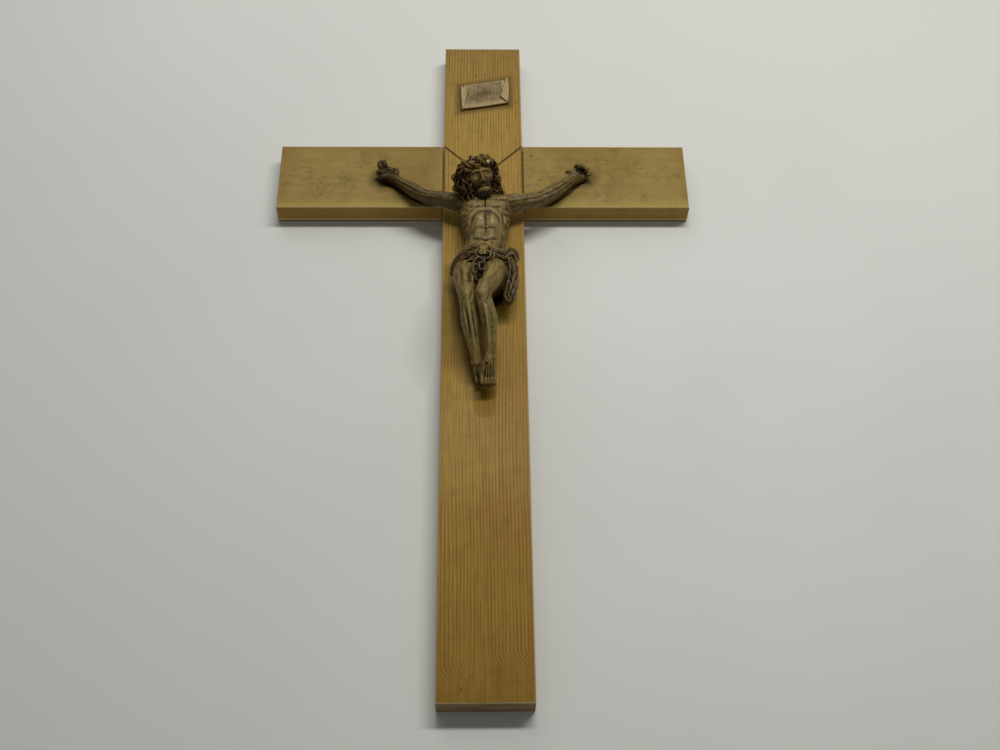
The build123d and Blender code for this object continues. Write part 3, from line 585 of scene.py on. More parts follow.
def carvedFinish(name, *colours, **changes):
    # light, middle, dark and deep tones, and what differs from the common lacquer
    look = {**lacquer, **changes}
    finish, place = newFinish(name)
    x, y, z = millimetres(place)
    recess = add(place.tree, "Attribute", out=2, attribute_name="recess")
    mottle = noise(place, 320.0, 5.0, 0.65)
    turn = (0.0, 0.0, np.radians(look["grainTurn"]))
    turned = add(place.tree, "Mapping", {"Vector": place, "Rotation": turn})
    grain = noise(turned, (1300.0, 130.0, 1300.0), 3.0)
    patch = noise(place, 110.0, 4.0, 0.6)
    # darker in the hollows and lighter on the rises: partly the carving's own darker finish in its hollows,
    # partly painted shade and highlight
    paintedLightAndTone = recess + (mottle - 0.5) * look["mottle"] + (grain - 0.5) * look["streak"]
    paintedLightAndTone = paintedLightAndTone + (patch - 0.5) * look["patch"]
    colour = ramp(paintedLightAndTone, *zip(look["stops"], (toned(*tone) for tone in colours)))
    # painted shade: darker low down beside the wood
    low, high, least = look["lowTone"]
    shade = z.ranged(cross["face"] + low, cross["face"] + high, least, 1.0)
    colour = times(colour, ramp(shade, (0.0, 0.0), (1.0, 1.0)))
    if "levels" in look:  # tone by the distance below the hand nails
        colour = times(colour, ramp((cross["barMiddle"] - y).ranged(0.0, 150.0), *look["levels"]))
    if "hand" in look:  # the hands are darker than the arms
        colour = mixed(abs(x).ranged(43.0, 52.0), colour, times(colour, look["hand"]))
    rough = mottle.ranged(0.3, 0.7, look["rough"], look["rough"] + 0.2)
    finishEnd(colour, rough, grain + mottle * 0.8, look)
    return finish


lacquer = dict(coat=0.15, coatRoughness=0.14, shine=0.16, rough=0.46, bump=0.7, bumpHeight=0.0003,
               mottle=0.58, streak=0.42, patch=0.25, grainTurn=0.0, lowTone=(2.0, 13.0, 0.5),
               stops=(0.22, 0.46, 0.63, 0.86))
fleshFinish = carvedFinish(
    "fleshWood", (160, 141, 88), (127, 108, 61), (79, 62, 29), (29, 21, 8),
    levels=[(0.36, 1.0), (0.5, (0.8, 0.77, 0.68, 1.0)), (0.64, (0.76, 0.73, 0.62, 1.0)), (0.76, 0.9),
            (0.86, (0.84, 0.78, 0.64, 1.0))])
# the right arm's finish is a darker copy of the left's: painted shade
armFinish = dict(
    right=carvedFinish("armWoodRight", (123, 104, 60), (92, 75, 38), (74, 57, 27), (29, 21, 8),
                       lowTone=(0.0, 6.0, 0.5), grainTurn=-59.0, hand=(0.6, 0.5, 0.35, 1.0)),
    left=carvedFinish("armWoodLeft", (144, 124, 76), (112, 94, 52), (74, 57, 27), (29, 21, 8),
                      lowTone=(0.0, 6.0, 0.5), grainTurn=56.0, hand=(0.78, 0.68, 0.52, 1.0)))
faceFinish = carvedFinish("faceWood", (166, 138, 76), (127, 101, 50), (58, 44, 21), (19, 14, 6), streak=0.2,
                          patch=0.2)
# the light tone, on the tops of the strands, is a painted highlight
hairFinish = carvedFinish("hairWood", (204, 164, 88), (90, 66, 26), (30, 20, 7), (8, 5, 2), streak=0.2,
                          coat=0.22, coatRoughness=0.12, shine=0.04, stops=(0.12, 0.34, 0.5, 0.72))
clothFinish = carvedFinish("clothWood", (134, 114, 66), (86, 68, 34), (42, 31, 13), (10, 7, 3))
fanFinish = carvedFinish("fanWood", (194, 166, 90), (126, 103, 48), (52, 39, 15), (16, 11, 4))
shadeBlobFinish = carvedFinish("shadeBlobWood", (40, 30, 13), (26, 19, 8), (15, 11, 5), (6, 4, 2))
crownFinish = carvedFinish("crownWood", (166, 134, 70), (84, 63, 28), (30, 22, 9), (12, 8, 4), shine=0.06,
                           streak=0.2)
scrollFinish = carvedFinish("scrollWood", (182, 160, 112), (152, 130, 87), (98, 80, 46), (44, 33, 17),
                            mottle=0.3, streak=0.25, lowTone=(0.0, 1.2, 0.6))
nailFinish = carvedFinish("nailIron", (70, 56, 42), (44, 34, 26), (28, 21, 16), (14, 10, 8))
glintKnotFinish = carvedFinish("glintKnot", (224, 212, 180), (196, 180, 142), (120, 100, 66), (40, 30, 16))

# Trunk, legs and feet
trunk = dict(
    voxel=0.346,
    # level below the nails, middle, half width, back and front above the wood, squareness
    levels=[
        (18.5, 0.4, 0.2, 11.0, 11.4, 2.0), (19.5, 0.4, 4.6, 7.0, 16.0, 2.0),
        (22.5, 0.7, 8.6, 4.0, 16.8, 2.1), (26.5, 1.3, 14.6, 1.4, 17.2, 2.2),
        (31.0, 1.1, 15.0, 0.0, 18.4, 2.3), (35.0, 1.2, 14.4, -0.4, 19.2, 2.35),
        (40.0, 1.2, 13.4, -0.4, 19.0, 2.3), (45.0, 1.3, 12.4, -0.4, 18.4, 2.3),
        (50.0, 1.3, 11.3, -0.2, 17.7, 2.3), (55.0, 0.9, 10.7, 0.2, 17.3, 2.3),
        (60.0, -0.2, 11.4, 0.0, 18.0, 2.3), (66.0, -1.2, 13.2, 0.0, 19.2, 2.3),
        (72.0, -1.6, 14.0, 0.0, 19.6, 2.2), (78.0, -1.6, 12.6, 2.0, 19.0, 2.0),
        (82.0, -1.6, 7.0, 5.0, 16.0, 2.0), (83.0, -1.6, 0.2, 9.0, 10.0, 2.0),
    ],
    neck=[(0.7, 26.0, 9.5), (-0.6, 20.0, 15.0)], neckRadii=[5.4, 4.8],
)
legs = dict(
    right=[(-8.2, 70.0, 10.0), (-9.6, 79.0, 15.5), (-9.6, 88.0, 20.0), (-8.9, 97.0, 22.6),
           (-8.2, 103.5, 21.0), (-7.4, 110.5, 18.2), (-5.9, 118.5, 14.4), (-4.5, 125.0, 11.0),
           (-3.7, 129.0, 8.8)],
    left=[(5.2, 70.0, 10.5), (5.4, 78.0, 16.5), (3.0, 88.0, 22.0), (-0.2, 97.0, 25.4), (0.6, 103.5, 24.0),
          (2.4, 110.5, 21.4), (3.2, 118.5, 17.8), (3.4, 125.0, 15.4), (3.2, 129.0, 13.9)],
    radii=[6.6, 6.3, 5.5, 4.3, 4.1, 4.3, 3.2, 2.6, 2.5],
    knees=[((-8.7, 98.0, 25.0), (2.7, 3.2, 2.0)), ((-0.6, 99.0, 28.0), (2.8, 3.4, 2.0))],
    ankleRadii=(1.1, 1.3, 1.1),
    ankles=[(-5.6, 129.4, 9.6), (-1.9, 129.0, 8.8), (1.2, 129.6, 14.4), (5.2, 129.2, 14.0)],
)
feet = dict(
    # along a toe: share of its length, height above the end of the foot, share of its radius
    joints=[(0.0, 0.2, 0.9), (0.5, 0.5, 0.8), (0.8, 0.0, 0.95), (1.0, -0.5, 1.0)],
    right=dict(
        line=[(-3.5, 127.5, 9.4), (-3.2, 131.0, 7.4), (-2.9, 133.6, 5.6), (-2.8, 134.8, 4.8)],
        radii=[2.4, 2.4, 2.6, 2.6], flat=[0.95, 0.75, 0.55, 0.5],
        # sideways from the middle, radius, length
        toes=[(-0.9, 1.15, 3.4), (1.0, 0.8, 3.6), (2.3, 0.7, 3.2)],
    ),
    left=dict(
        line=[(3.0, 127.5, 14.4), (2.5, 131.4, 12.6), (2.0, 135.2, 10.2), (1.9, 136.8, 9.2)],
        radii=[2.6, 3.4, 3.9, 4.0], flat=[0.95, 0.75, 0.5, 0.42],
        toes=[(-2.9, 1.15, 4.6), (-1.2, 0.85, 4.8), (0.3, 0.8, 4.5), (1.7, 0.76, 4.0), (3.0, 0.72, 3.3)],
    ),
)
shells = [stations(trunk["levels"], 90, 72), tube(spots(trunk["neck"]), trunk["neckRadii"])]
share, rise, size = np.array(feet["joints"]).T
for side in ("right", "left"):
    foot = feet[side]
    shells.append(tube(spots(legs[side]), legs["radii"], 70, 32, up=(1.0, 0.0, 0.0)))
    shells.append(tube(spots(foot["line"]), foot["radii"], 20, 24, foot["flat"], (1.0, 0.0, 0.0)))
    endX, endDrop, endLift = foot["line"][-1]
    for shift, radius, length in foot["toes"]:
        line = np.stack([np.full(4, endX + shift), endDrop - 0.8 + share * length, endLift + rise], -1)
        shells.append(tube(spots(line), radius * size, rows=14, sides=12))
for middle, radii in legs["knees"]:
    shells.append(blob(spot(*middle), radii))
for middle in legs["ankles"]:
    shells.append(blob(spot(*middle), legs["ankleRadii"]))
trunkStrokes = [
    # centre line: thin on the breast, wide and soft on the belly
    ([(0.95, 28.6), (0.92, 33.0), (0.9, 38.4)], 0.5, 0.5),
    ([(0.9, 38.8), (0.88, 46.0), (0.85, 54.0)], 0.55, 0.42),
    # breast: flat, with a short edge beside the arch
    ([(-8.6, 35.8), (-5.4, 36.8), (-2.0, 36.9)], 0.75, 0.3),
    ([(10.2, 35.6), (7.0, 36.8), (3.8, 36.9)], 0.75, 0.3), ([(-9.0, 32.6), (-5.0, 33.8)], 2.6, -0.3),
    ([(10.8, 32.4), (6.8, 33.8)], 2.6, -0.3),
    # arch of the ribs: a raised band with a soft hollow inside it
    ([(-8.4, 53.5), (-8.2, 47.0), (-6.6, 41.8), (-3.4, 38.9), (0.9, 38.2), (5.0, 38.8), (8.6, 41.8),
      (10.0, 47.0), (10.2, 53.5)], 1.2, -0.28),
    ([(-6.8, 52.0), (-6.6, 47.4), (-5.2, 43.0), (-2.4, 40.6), (0.9, 40.2), (4.2, 40.6), (7.1, 43.0),
      (8.4, 47.4), (8.6, 52.0)], 0.6, 0.3),
    ([(-10.4, 52.0), (-10.0, 46.4), (-8.2, 40.6), (-4.2, 37.2), (0.9, 36.6), (5.8, 37.2), (10.2, 40.6)],
     0.5, 0.14),
    # belly in four soft swellings, its lower crease and the navel
    ([(-2.6, 44.2), (-2.8, 47.4)], 2.3, -0.8), ([(4.4, 44.2), (4.6, 47.4)], 2.3, -0.85),
    ([(-2.8, 52.6), (-2.7, 54.8)], 2.1, -0.6), ([(4.5, 52.6), (4.4, 54.8)], 2.1, -0.65),
    ([(-5.6, 50.4), (-2.4, 50.0), (0.9, 50.6), (4.2, 50.0), (7.4, 50.4)], 0.6, 0.34),
    ([(-9.0, 55.2), (-4.4, 56.8), (0.8, 58.0), (5.8, 56.8), (9.6, 55.4)], 0.85, 0.34),
    ([(-0.6, 57.6), (0.85, 58.5), (2.3, 57.6)], 0.7, 0.9),
    ([(-4.0, 60.4), (0.8, 61.0), (5.4, 60.4)], 1.9, -0.5),
    ([(9.6, 51.0), (9.8, 56.0), (9.0, 63.0)], 1.0, 0.5),
    ([(-7.8, 51.5), (-8.6, 56.0), (-8.4, 62.0)], 1.0, 0.4),
    # collar bones
    ([(-12.0, 28.4), (-6.0, 30.0), (-0.8, 31.2)], 0.9, -0.4),
    ([(14.0, 28.0), (8.0, 29.8), (2.6, 31.2)], 0.9, -0.4), ([(-10.0, 30.8), (-5.0, 32.2)], 0.8, 0.18),
    ([(12.0, 30.6), (7.0, 32.2)], 0.8, 0.18),
    # soft ribs on both sides and the cut in the side
    ([(-12.6, 37.6), (-9.6, 39.4)], 1.0, -0.36), ([(-12.2, 40.8), (-9.8, 42.4)], 1.0, -0.36),
    ([(-11.4, 44.0), (-9.8, 45.2)], 1.0, -0.32), ([(-10.6, 47.2), (-9.4, 48.2)], 1.0, -0.28),
    ([(15.0, 37.4), (12.2, 39.0)], 1.0, -0.3), ([(14.2, 40.8), (12.2, 42.2)], 1.0, -0.3),
    ([(13.4, 44.0), (12.0, 45.2)], 1.0, -0.28), ([(9.5, 40.4), (10.5, 46.6)], 0.5, 1.1),
    ([(8.7, 40.8), (9.6, 46.4)], 0.5, -0.45), ([(10.7, 40.6), (11.6, 46.0)], 0.5, -0.45),
    # armpits
    ([(-14.0, 29.0), (-12.8, 34.5)], 1.1, 0.9), ([(16.4, 29.0), (15.2, 34.5)], 1.1, 0.9),
]
legStrokes = [
    # gap between the thighs
    ([(-2.4, 76.0), (-2.6, 84.0), (-3.6, 92.0)], 1.5, 2.4),
    ([(-12.4, 79.0), (-11.6, 88.0), (-11.0, 95.0)], 1.0, 0.45),
    ([(-7.2, 79.0), (-7.2, 87.0), (-7.4, 94.0)], 0.9, 0.4), ([(-9.6, 79.0), (-9.2, 92.0)], 1.2, -0.35),
    ([(-5.6, 82.0), (-5.8, 92.0)], 0.8, -0.3), ([(9.6, 77.0), (6.6, 85.0), (2.6, 93.0)], 1.0, 0.4),
    ([(5.0, 77.0), (2.4, 86.0), (0.2, 92.0)], 1.6, -0.4),
    ([(2.4, 79.0), (0.2, 87.0), (-1.6, 93.0)], 0.8, 0.35),
    # hollows beside and below the kneecaps
    ([(-11.4, 96.0), (-11.0, 100.0), (-9.8, 102.8)], 0.9, 0.4),
    ([(-6.4, 96.0), (-6.6, 100.0), (-7.6, 102.8)], 0.9, 0.4),
    ([(-3.6, 98.0), (-3.2, 101.6), (-1.8, 104.2)], 0.9, 0.4),
    ([(2.2, 98.0), (2.2, 101.6), (1.2, 104.2)], 0.9, 0.4),
    # shins with their long edge and the hollows beside it
    ([(-8.4, 101.0), (-6.8, 112.0), (-5.2, 121.0), (-4.2, 127.0)], 0.65, -0.8),
    ([(-9.8, 103.5), (-8.2, 112.0), (-6.6, 121.0)], 0.65, 0.5),
    ([(-7.0, 104.0), (-5.2, 113.0), (-4.0, 121.0)], 0.65, 0.45),
    ([(-10.6, 105.0), (-9.2, 112.0), (-7.6, 119.0)], 0.5, -0.3),
    ([(-0.4, 102.0), (1.4, 113.0), (2.4, 121.0), (2.8, 127.0)], 0.75, -0.7),
    ([(-1.8, 105.0), (0.2, 113.5), (1.4, 121.0)], 0.7, 0.4),
    ([(2.2, 105.5), (4.0, 112.5), (4.4, 120.0)], 0.9, 0.3),
    # tendons on the feet
    ([(2.4, 129.0), (-0.6, 136.4)], 0.4, -0.35), ([(2.8, 129.0), (0.9, 136.6)], 0.4, -0.35),
    ([(3.1, 129.0), (2.3, 136.6)], 0.4, -0.35), ([(3.4, 129.0), (3.8, 136.4)], 0.4, -0.35),
    ([(1.0, 132.6), (-0.1, 139.4)], 0.4, 0.42), ([(1.8, 133.6), (1.5, 139.4)], 0.4, 0.3),
    ([(2.9, 132.8), (2.9, 139.2)], 0.4, 0.36), ([(3.9, 133.8), (4.3, 138.6)], 0.4, 0.3),
    ([(-3.6, 131.0), (-2.9, 137.6)], 0.4, 0.4), ([(-3.6, 129.0), (-3.0, 134.6)], 0.4, -0.35),
    ([(-4.4, 129.0), (-4.4, 134.4)], 0.4, -0.35),
]
chance = np.random.default_rng(5)


def toolMarks(count, line, spread, length, depth):
    # short shallow cuts that run along a limb, at random places beside its line
    path = curveThrough([row[:2] for row in line], 200)
    along = unit(np.gradient(path, axis=0))
    side = np.stack([-along[:, 1], along[:, 0]], -1)
    marks = []
    for pick in chance.integers(4, 196, count):
        middle = path[pick] + side[pick] * chance.uniform(-spread, spread)
        half = along[pick] * length * chance.uniform(0.3, 0.7)
        marks.append(([middle - half, middle + half], chance.uniform(0.4, 0.8),
                      depth * chance.choice([-1.0, 1.0])))
    return marks


legStrokes += toolMarks(60, legs["right"], 4.5, 5.0, 0.1) + toolMarks(60, legs["left"], 4.5, 5.0, 0.1)
trunkStrokes += toolMarks(50, [(1.2, 29.0), (1.0, 45.0), (0.4, 62.0)], 13.0, 4.0, 0.08)
places, quads = fuseShells(shells, trunk["voxel"], 3)
places = relax(carve(places, quads, trunkStrokes + legStrokes), quads, 1)
# painted highlights on the knees, the left thigh, the belly and the shins; painted shade on the flanks and
# the right thigh
x, drop = places[:, 0], cross["barMiddle"] - places[:, 1]
paintedLightAndTone = 0.16 * (bell(x, -8.7, 2.4) * bell(drop, 97.0, 3.5) + bell(x, -0.8, 2.6) * bell(drop, 98.5, 3.5))
paintedLightAndTone += 0.14 * bell(x, 4.5, 4.5) * bell(drop, 86.0, 6.0) - 0.08 * bell(x, -9.6, 4.0) * bell(drop, 85.0, 6.0)
paintedLightAndTone += 0.12 * (bell(x, -2.6, 2.0) + bell(x, 4.5, 2.0)) * bell(drop, 46.0, 3.0)
flanks = smoothStep(8.0, 12.5, np.abs(x - 1.2)) * smoothStep(26.0, 30.0, drop) * smoothStep(62.0, 56.0, drop)
paintedLightAndTone -= 0.12 * flanks
shins = smoothStep(100.0, 103.0, drop) * smoothStep(128.0, 124.0, drop)
paintedLightAndTone += 0.2 * shins * bell(x, -8.4 + 0.16 * (drop - 101.0), 0.7)
paintedLightAndTone += 0.14 * shins * bell(x, -0.4 + 0.13 * (drop - 102.0), 0.8)
pieceFrom("carvedBody", places, quads, fleshFinish, ["corpus_body"], -paintedLightAndTone)
print("stage: trunk and legs")

# Arms with hands
arms = dict(
    voxel=0.24,
    right=[(-11.0, 27.6, 10.0), (-15.2, 26.2, 9.8), (-22.2, 23.6, 8.8), (-27.5, 22.0, 8.0),
           (-31.6, 20.4, 7.4), (-38.0, 15.4, 6.0), (-43.8, 10.2, 4.5), (-48.7, 5.6, 3.4)],
    left=[(13.8, 27.8, 10.0), (18.0, 26.6, 9.8), (24.4, 24.8, 8.8), (29.0, 23.0, 8.0), (32.8, 21.2, 7.4),
          (39.4, 15.8, 6.0), (44.6, 10.6, 4.5), (49.0, 5.8, 3.4)],
    radii=dict(right=[5.0, 4.9, 4.2, 3.7, 3.5, 3.7, 3.0, 2.3], left=[5.0, 4.9, 4.3, 3.9, 3.8, 4.0, 3.5, 3.0]),
    flat=[1.0, 1.0, 1.05, 1.1, 1.15, 1.2, 1.2, 1.1],
)


def sinew(s, t):
    # lengthwise cords under the skin, deeper on the forearm
    return 1 + (0.024 + 0.02 * s) * np.cos(10 * t + 5 * s) + 0.03 * np.cos(6 * t - 5 * s + 1.0)


hands = dict(
    # line and radii, for the palm flatness too; the palm first, then the fingers and the thumb
    right=[
        ([(-47.9, 6.4, 3.6), (-50.2, 3.8, 3.4), (-52.6, 1.2, 3.2), (-54.4, -0.4, 3.0)],
         [2.5, 3.6, 4.6, 4.3], [1.0, 0.8, 0.62, 0.6]),
        ([(-56.4, -1.4, 3.8), (-57.8, -3.0, 5.2), (-58.2, -4.6, 5.6), (-57.4, -6.2, 5.2)],
         [1.5, 1.4, 1.2, 0.95]),
        ([(-54.4, -2.6, 4.0), (-55.2, -4.4, 5.4), (-55.6, -5.6, 5.7), (-55.2, -6.6, 5.2)],
         [1.5, 1.4, 1.2, 0.9]),
        ([(-57.2, 0.2, 2.8), (-58.4, 0.8, 4.4), (-57.2, 1.8, 5.8), (-55.4, 2.0, 5.8), (-54.4, 1.7, 4.8)],
         [1.5, 1.45, 1.35, 1.2, 1.0]),
        ([(-55.8, 2.8, 2.6), (-56.8, 3.6, 4.0), (-55.4, 4.4, 5.2), (-53.8, 4.3, 5.2), (-53.0, 3.8, 4.2)],
         [1.45, 1.4, 1.3, 1.15, 1.0]),
        ([(-50.2, 4.2, 4.0), (-48.8, 2.6, 5.2), (-48.4, 0.6, 5.4), (-48.8, -1.0, 4.8)], [1.8, 1.7, 1.5, 1.2]),
    ],
    left=[
        ([(48.2, 7.0, 3.8), (50.6, 4.6, 3.6), (53.2, 2.0, 3.2), (54.8, 0.6, 3.0)], [3.0, 3.7, 4.5, 4.2],
         [1.0, 0.8, 0.6, 0.55]),
        ([(52.2, -1.4, 3.2), (52.2, -3.0, 4.8), (53.0, -2.8, 6.4), (53.8, -1.4, 6.4), (53.8, -0.4, 5.4)],
         [1.25, 1.2, 1.1, 1.0, 0.85]),
        ([(54.8, -1.8, 3.2), (55.4, -3.2, 4.8), (56.0, -2.6, 6.4), (55.8, -1.2, 6.4), (55.4, -0.4, 5.4)],
         [1.25, 1.2, 1.1, 1.0, 0.85]),
        ([(57.0, -0.8, 3.0), (58.2, -1.6, 4.6), (58.4, -0.6, 6.0), (57.4, 0.4, 6.0), (56.8, 0.8, 5.0)],
         [1.2, 1.15, 1.1, 1.0, 0.85]),
        ([(58.0, 1.2, 2.8), (59.4, 1.2, 4.0), (60.0, 2.2, 5.0), (59.0, 3.0, 5.2), (58.2, 2.8, 4.4)],
         [1.15, 1.1, 1.0, 0.95, 0.8]),
        ([(50.8, 3.8, 4.2), (49.4, 1.6, 5.0), (48.0, 0.6, 5.0), (46.8, 0.4, 4.2)], [1.5, 1.35, 1.15, 0.9]),
    ],
)
armStrokes = dict(
    right=[
        ([(-16.0, 24.4), (-22.5, 21.8), (-28.0, 20.4)], 0.5, 0.24),
        ([(-16.5, 28.4), (-23.0, 25.6), (-28.5, 23.6)], 0.5, 0.24),
        ([(-18.5, 26.2), (-25.0, 23.6)], 1.1, -0.4),
        ([(-32.5, 18.2), (-38.5, 13.4), (-45.0, 7.4)], 0.4, 0.24),
        ([(-33.0, 20.0), (-39.0, 15.2), (-46.0, 8.4)], 0.4, 0.3),
        ([(-33.5, 21.6), (-39.5, 17.0), (-45.5, 10.4)], 0.4, 0.24),
        ([(-42.0, 12.0), (-48.6, 5.4)], 0.35, -0.3), ([(-54.2, -0.3), (-51.6, 1.7)], 1.7, 1.5),
    ],
    left=[
        ([(18.4, 24.6), (24.6, 22.8), (29.6, 21.2)], 0.5, 0.24),
        ([(19.0, 28.6), (25.4, 26.6), (30.4, 24.4)], 0.5, 0.24), ([(20.5, 26.6), (27.0, 24.6)], 1.1, -0.4),
        ([(33.8, 18.8), (40.0, 13.8), (46.0, 7.6)], 0.4, 0.24),
        ([(34.4, 20.6), (40.6, 15.6), (46.6, 8.8)], 0.4, 0.3),
        ([(34.8, 22.2), (41.0, 17.4), (46.4, 10.8)], 0.4, 0.24), ([(42.8, 12.4), (49.0, 5.8)], 0.35, -0.3),
        ([(53.0, 0.4), (55.4, 1.2)], 1.5, 1.5),
    ],
)
for side in ("right", "left"):
    shells = [tube(spots(arms[side]), arms["radii"][side], rows=90, sides=60,
                   flat=arms["flat"], up=(0.0, 1.0, 0.0), ridge=sinew)]
    for line, radii, *flat in hands[side]:
        shells.append(tube(spots(line), radii, 22, 16, *flat, up=(0.6, 0.8, 0.0)))
    places, quads = fuseShells(shells, arms["voxel"], 2)
    marks = toolMarks(70, arms[side], 3.6, 5.0, 0.09)
    places = relax(carve(places, quads, armStrokes[side] + marks), quads, 1)
    pieceFrom("carvedArm" + side.capitalize(), places, quads, armFinish[side],
              ["corpus_arm_" + side])
print("stage: arms")

# Head with a short beard: bowed towards the feet, leaning to its right and turned a little to its left
head = dict(place=(-2.4, 18.0, 21.0), bow=28.0, lean=16.0, turn=8.0, voxel=0.2,
            halfHeight=10.4, halfWidth=7.9, halfDepth=8.6,
            # from inside the head and into the shoulders
            neckTop=(0.2, -4.0, 0.0), neckFoot=(0.9, 25.5, 10.5), neckRadii=[5.0, 5.2])
bow, lean, yaw = (np.radians(head[key]) for key in ("bow", "lean", "turn"))
headUp = np.array([-np.sin(lean) * np.cos(bow), np.cos(lean) * np.cos(bow), np.sin(bow)])
level = unit(np.array([1.0, 0.0, 0.0]) - headUp * headUp[0])
ahead = np.cross(level, headUp)
headAcross = level * np.cos(yaw) - ahead * np.sin(yaw)
headFront = ahead * np.cos(yaw) + level * np.sin(yaw)
headAxes = np.stack([headAcross, headUp, headFront])
headMiddle = spot(*head["place"])


def onHead(rows):
    # places given across, up and out of the face
    return headMiddle + np.asarray(rows, float) @ headAxes


def faceShell(rows=150, cols=150):
    # ellipsoid that narrows to the jaw, with bells for brows, sockets, lids, nose, lips, cheeks and chin
    u = np.linspace(np.pi / 2, -np.pi / 2, rows)[:, None]
    t = np.linspace(0, 2 * np.pi, cols, endpoint=False)[None]
    a = head["halfWidth"] * np.cos(u) * np.cos(t)
    h = head["halfHeight"] * np.sin(u) + 0 * t
    h = np.where(h > 2.0, 2.0 + 0.66 * (h - 2.0), h)
    f = head["halfDepth"] * np.cos(u) * np.sin(t)
    a = a * (1 - 0.26 * smoothStep(0, 9, -h))
    out = np.zeros_like(a)
    for s in (-1, 1):
        out += 0.75 * bell(a, s * 2.9, 2.3) * bell(h, 1.7, 0.9)
        out -= 1.5 * bell(a, s * 3.0, 1.8) * bell(h, -0.1, 1.25)
        out += 1.05 * bell(a, s * 3.0, 1.3) * bell(h, -0.2, 0.8)
        out -= 0.3 * bell(a, s * 3.0, 1.35) * bell(h + 0.06 * (a - s * 3.0) ** 2, -0.65, 0.2)
        out += 0.85 * bell(a, s * 1.2, 0.6) * bell(h, -3.9, 0.7)
        out += 0.55 * bell(a, s * 4.4, 1.7) * bell(h, -2.3, 1.5)
        out -= 0.5 * bell(a, s * 4.2, 1.5) * bell(h, -5.4, 1.6)
    ridge = smoothStep(2.0, -3.4, h) * smoothStep(-4.9, -4.0, h)
    nose = (0.5 + 2.3 * ridge) * bell(a, 0, 0.75 + 0.35 * ridge)
    out += nose * smoothStep(3.2, 1.0, h) * smoothStep(-5.0, -4.1, h)
    out += 0.7 * bell(a, 0, 1.9) * bell(h, -6.2, 0.45)
    out -= 0.55 * bell(a, 0, 2.2) * bell(h, -6.7, 0.22)
    out += 0.8 * bell(a, 0, 1.6) * bell(h, -7.25, 0.5)
    out -= 0.35 * bell(a, 0, 1.8) * bell(h, -8.1, 0.4)
    out += 0.9 * bell(a, 0, 1.8) * bell(h, -9.4, 1.1)
    f = f + out * smoothStep(0.0, 3.0, f)
    return onHead(np.stack([a, h, f], -1).reshape(-1, 3)), gridQuads(rows, cols)


beard = dict(middle=(0.0, -9.2, 4.4), radii=(4.0, 3.1, 3.3), thick=0.4, strand=0.16, step=0.85, recessShift=0.3)
neck = np.vstack([onHead([head["neckTop"]]), spots([head["neckFoot"]])])
shells = [faceShell(), tube(neck, head["neckRadii"], rows=14, sides=28)]
shells.append(blob(onHead([beard["middle"]])[0], beard["radii"], 24, 32, headAxes))
places, quads = fuseShells(shells, head["voxel"], 1)
# strands run down the jaw and in towards the chin: thick + strand cos(2 pi q / step), q across the strands
a, h, f = ((places - headMiddle) @ headAxes.T).T
edge = -8.6 + 5.4 * smoothStep(1.8, 5.8, np.abs(a))
lip = bell(np.abs(a), 1.7, 1.5) * bell(h + 0.28 * np.abs(a), -5.2, 0.5)
cover = np.maximum(smoothStep(edge + 0.7, edge - 0.7, h), lip) * smoothStep(0.5, 3.0, f)
q = a * (1 + 0.05 * (h + 9)) + 0.2 * np.sin(0.9 * h + 2.0 * np.sign(a)) + 0.07 * np.sin(2.9 * h)
relief = cover * (beard["thick"] + beard["strand"] * np.cos(2 * np.pi * q / beard["step"]))
places = places + normalsOf(places, quads) * relief[:, None]
pieceFrom("carvedFace", places, quads, faceFinish, ["corpus_body"], beard["recessShift"] * cover)

# Hair in wavy locks
hair = dict(
    voxel=0.2, wave=1.15, waveStep=6.4, radius=0.78, strands=4, apart=1.05,
    cap=dict(middle=(-0.6, 0.6, -1.3), radii=(8.3, 7.9, 8.4)),
    locks=[
        # the figure's right
        [(0.2, 7.0, 5.6), (-4.2, 6.6, 6.4), (-7.2, 4.0, 5.8), (-8.4, -0.6, 4.6), (-8.0, -5.6, 4.0),
         (-7.0, -10.2, 3.0), (-5.8, -13.0, 2.0)],
        [(-0.4, 7.6, 3.4), (-5.6, 6.6, 4.2), (-9.2, 3.6, 3.6), (-10.6, -1.0, 2.4), (-10.2, -6.4, 1.6),
         (-8.8, -11.0, 0.6), (-7.6, -13.6, -0.2)],
        [(-0.8, 7.8, 1.6), (-6.4, 6.8, 2.2), (-10.6, 3.6, 1.2), (-12.2, -1.2, 0.0), (-11.8, -6.4, -1.0),
         (-10.4, -10.6, -1.8)],
        [(-1.0, 7.8, -0.8), (-6.8, 6.6, -1.0), (-11.0, 3.0, -2.0), (-12.4, -2.2, -3.0), (-11.6, -7.6, -3.8)],
        [(-1.0, 7.6, -3.0), (-6.4, 6.2, -4.0), (-10.0, 2.4, -5.2), (-11.0, -3.0, -6.0), (-10.2, -8.0, -6.4)],
        # the figure's left
        [(0.6, 7.0, 5.6), (4.2, 6.4, 6.0), (6.8, 3.8, 4.8), (7.3, -0.6, 3.4), (7.2, -5.8, 2.4),
         (7.8, -10.2, 1.4), (9.6, -13.4, 0.4)],
        [(1.0, 7.6, 3.2), (5.2, 6.4, 3.2), (7.9, 3.4, 2.0), (8.5, -1.2, 0.8), (8.3, -6.8, -0.2),
         (9.2, -11.2, -1.0)],
        [(1.0, 7.8, 0.8), (5.6, 6.4, 0.6), (8.4, 3.0, -0.8), (8.9, -1.8, -2.0), (8.7, -7.4, -2.8)],
        [(1.0, 7.6, -2.4), (5.4, 6.2, -3.2), (8.0, 2.4, -4.4), (8.4, -2.8, -5.2), (7.8, -7.8, -5.6)],
    ],
)
draws = np.random.default_rng(11)


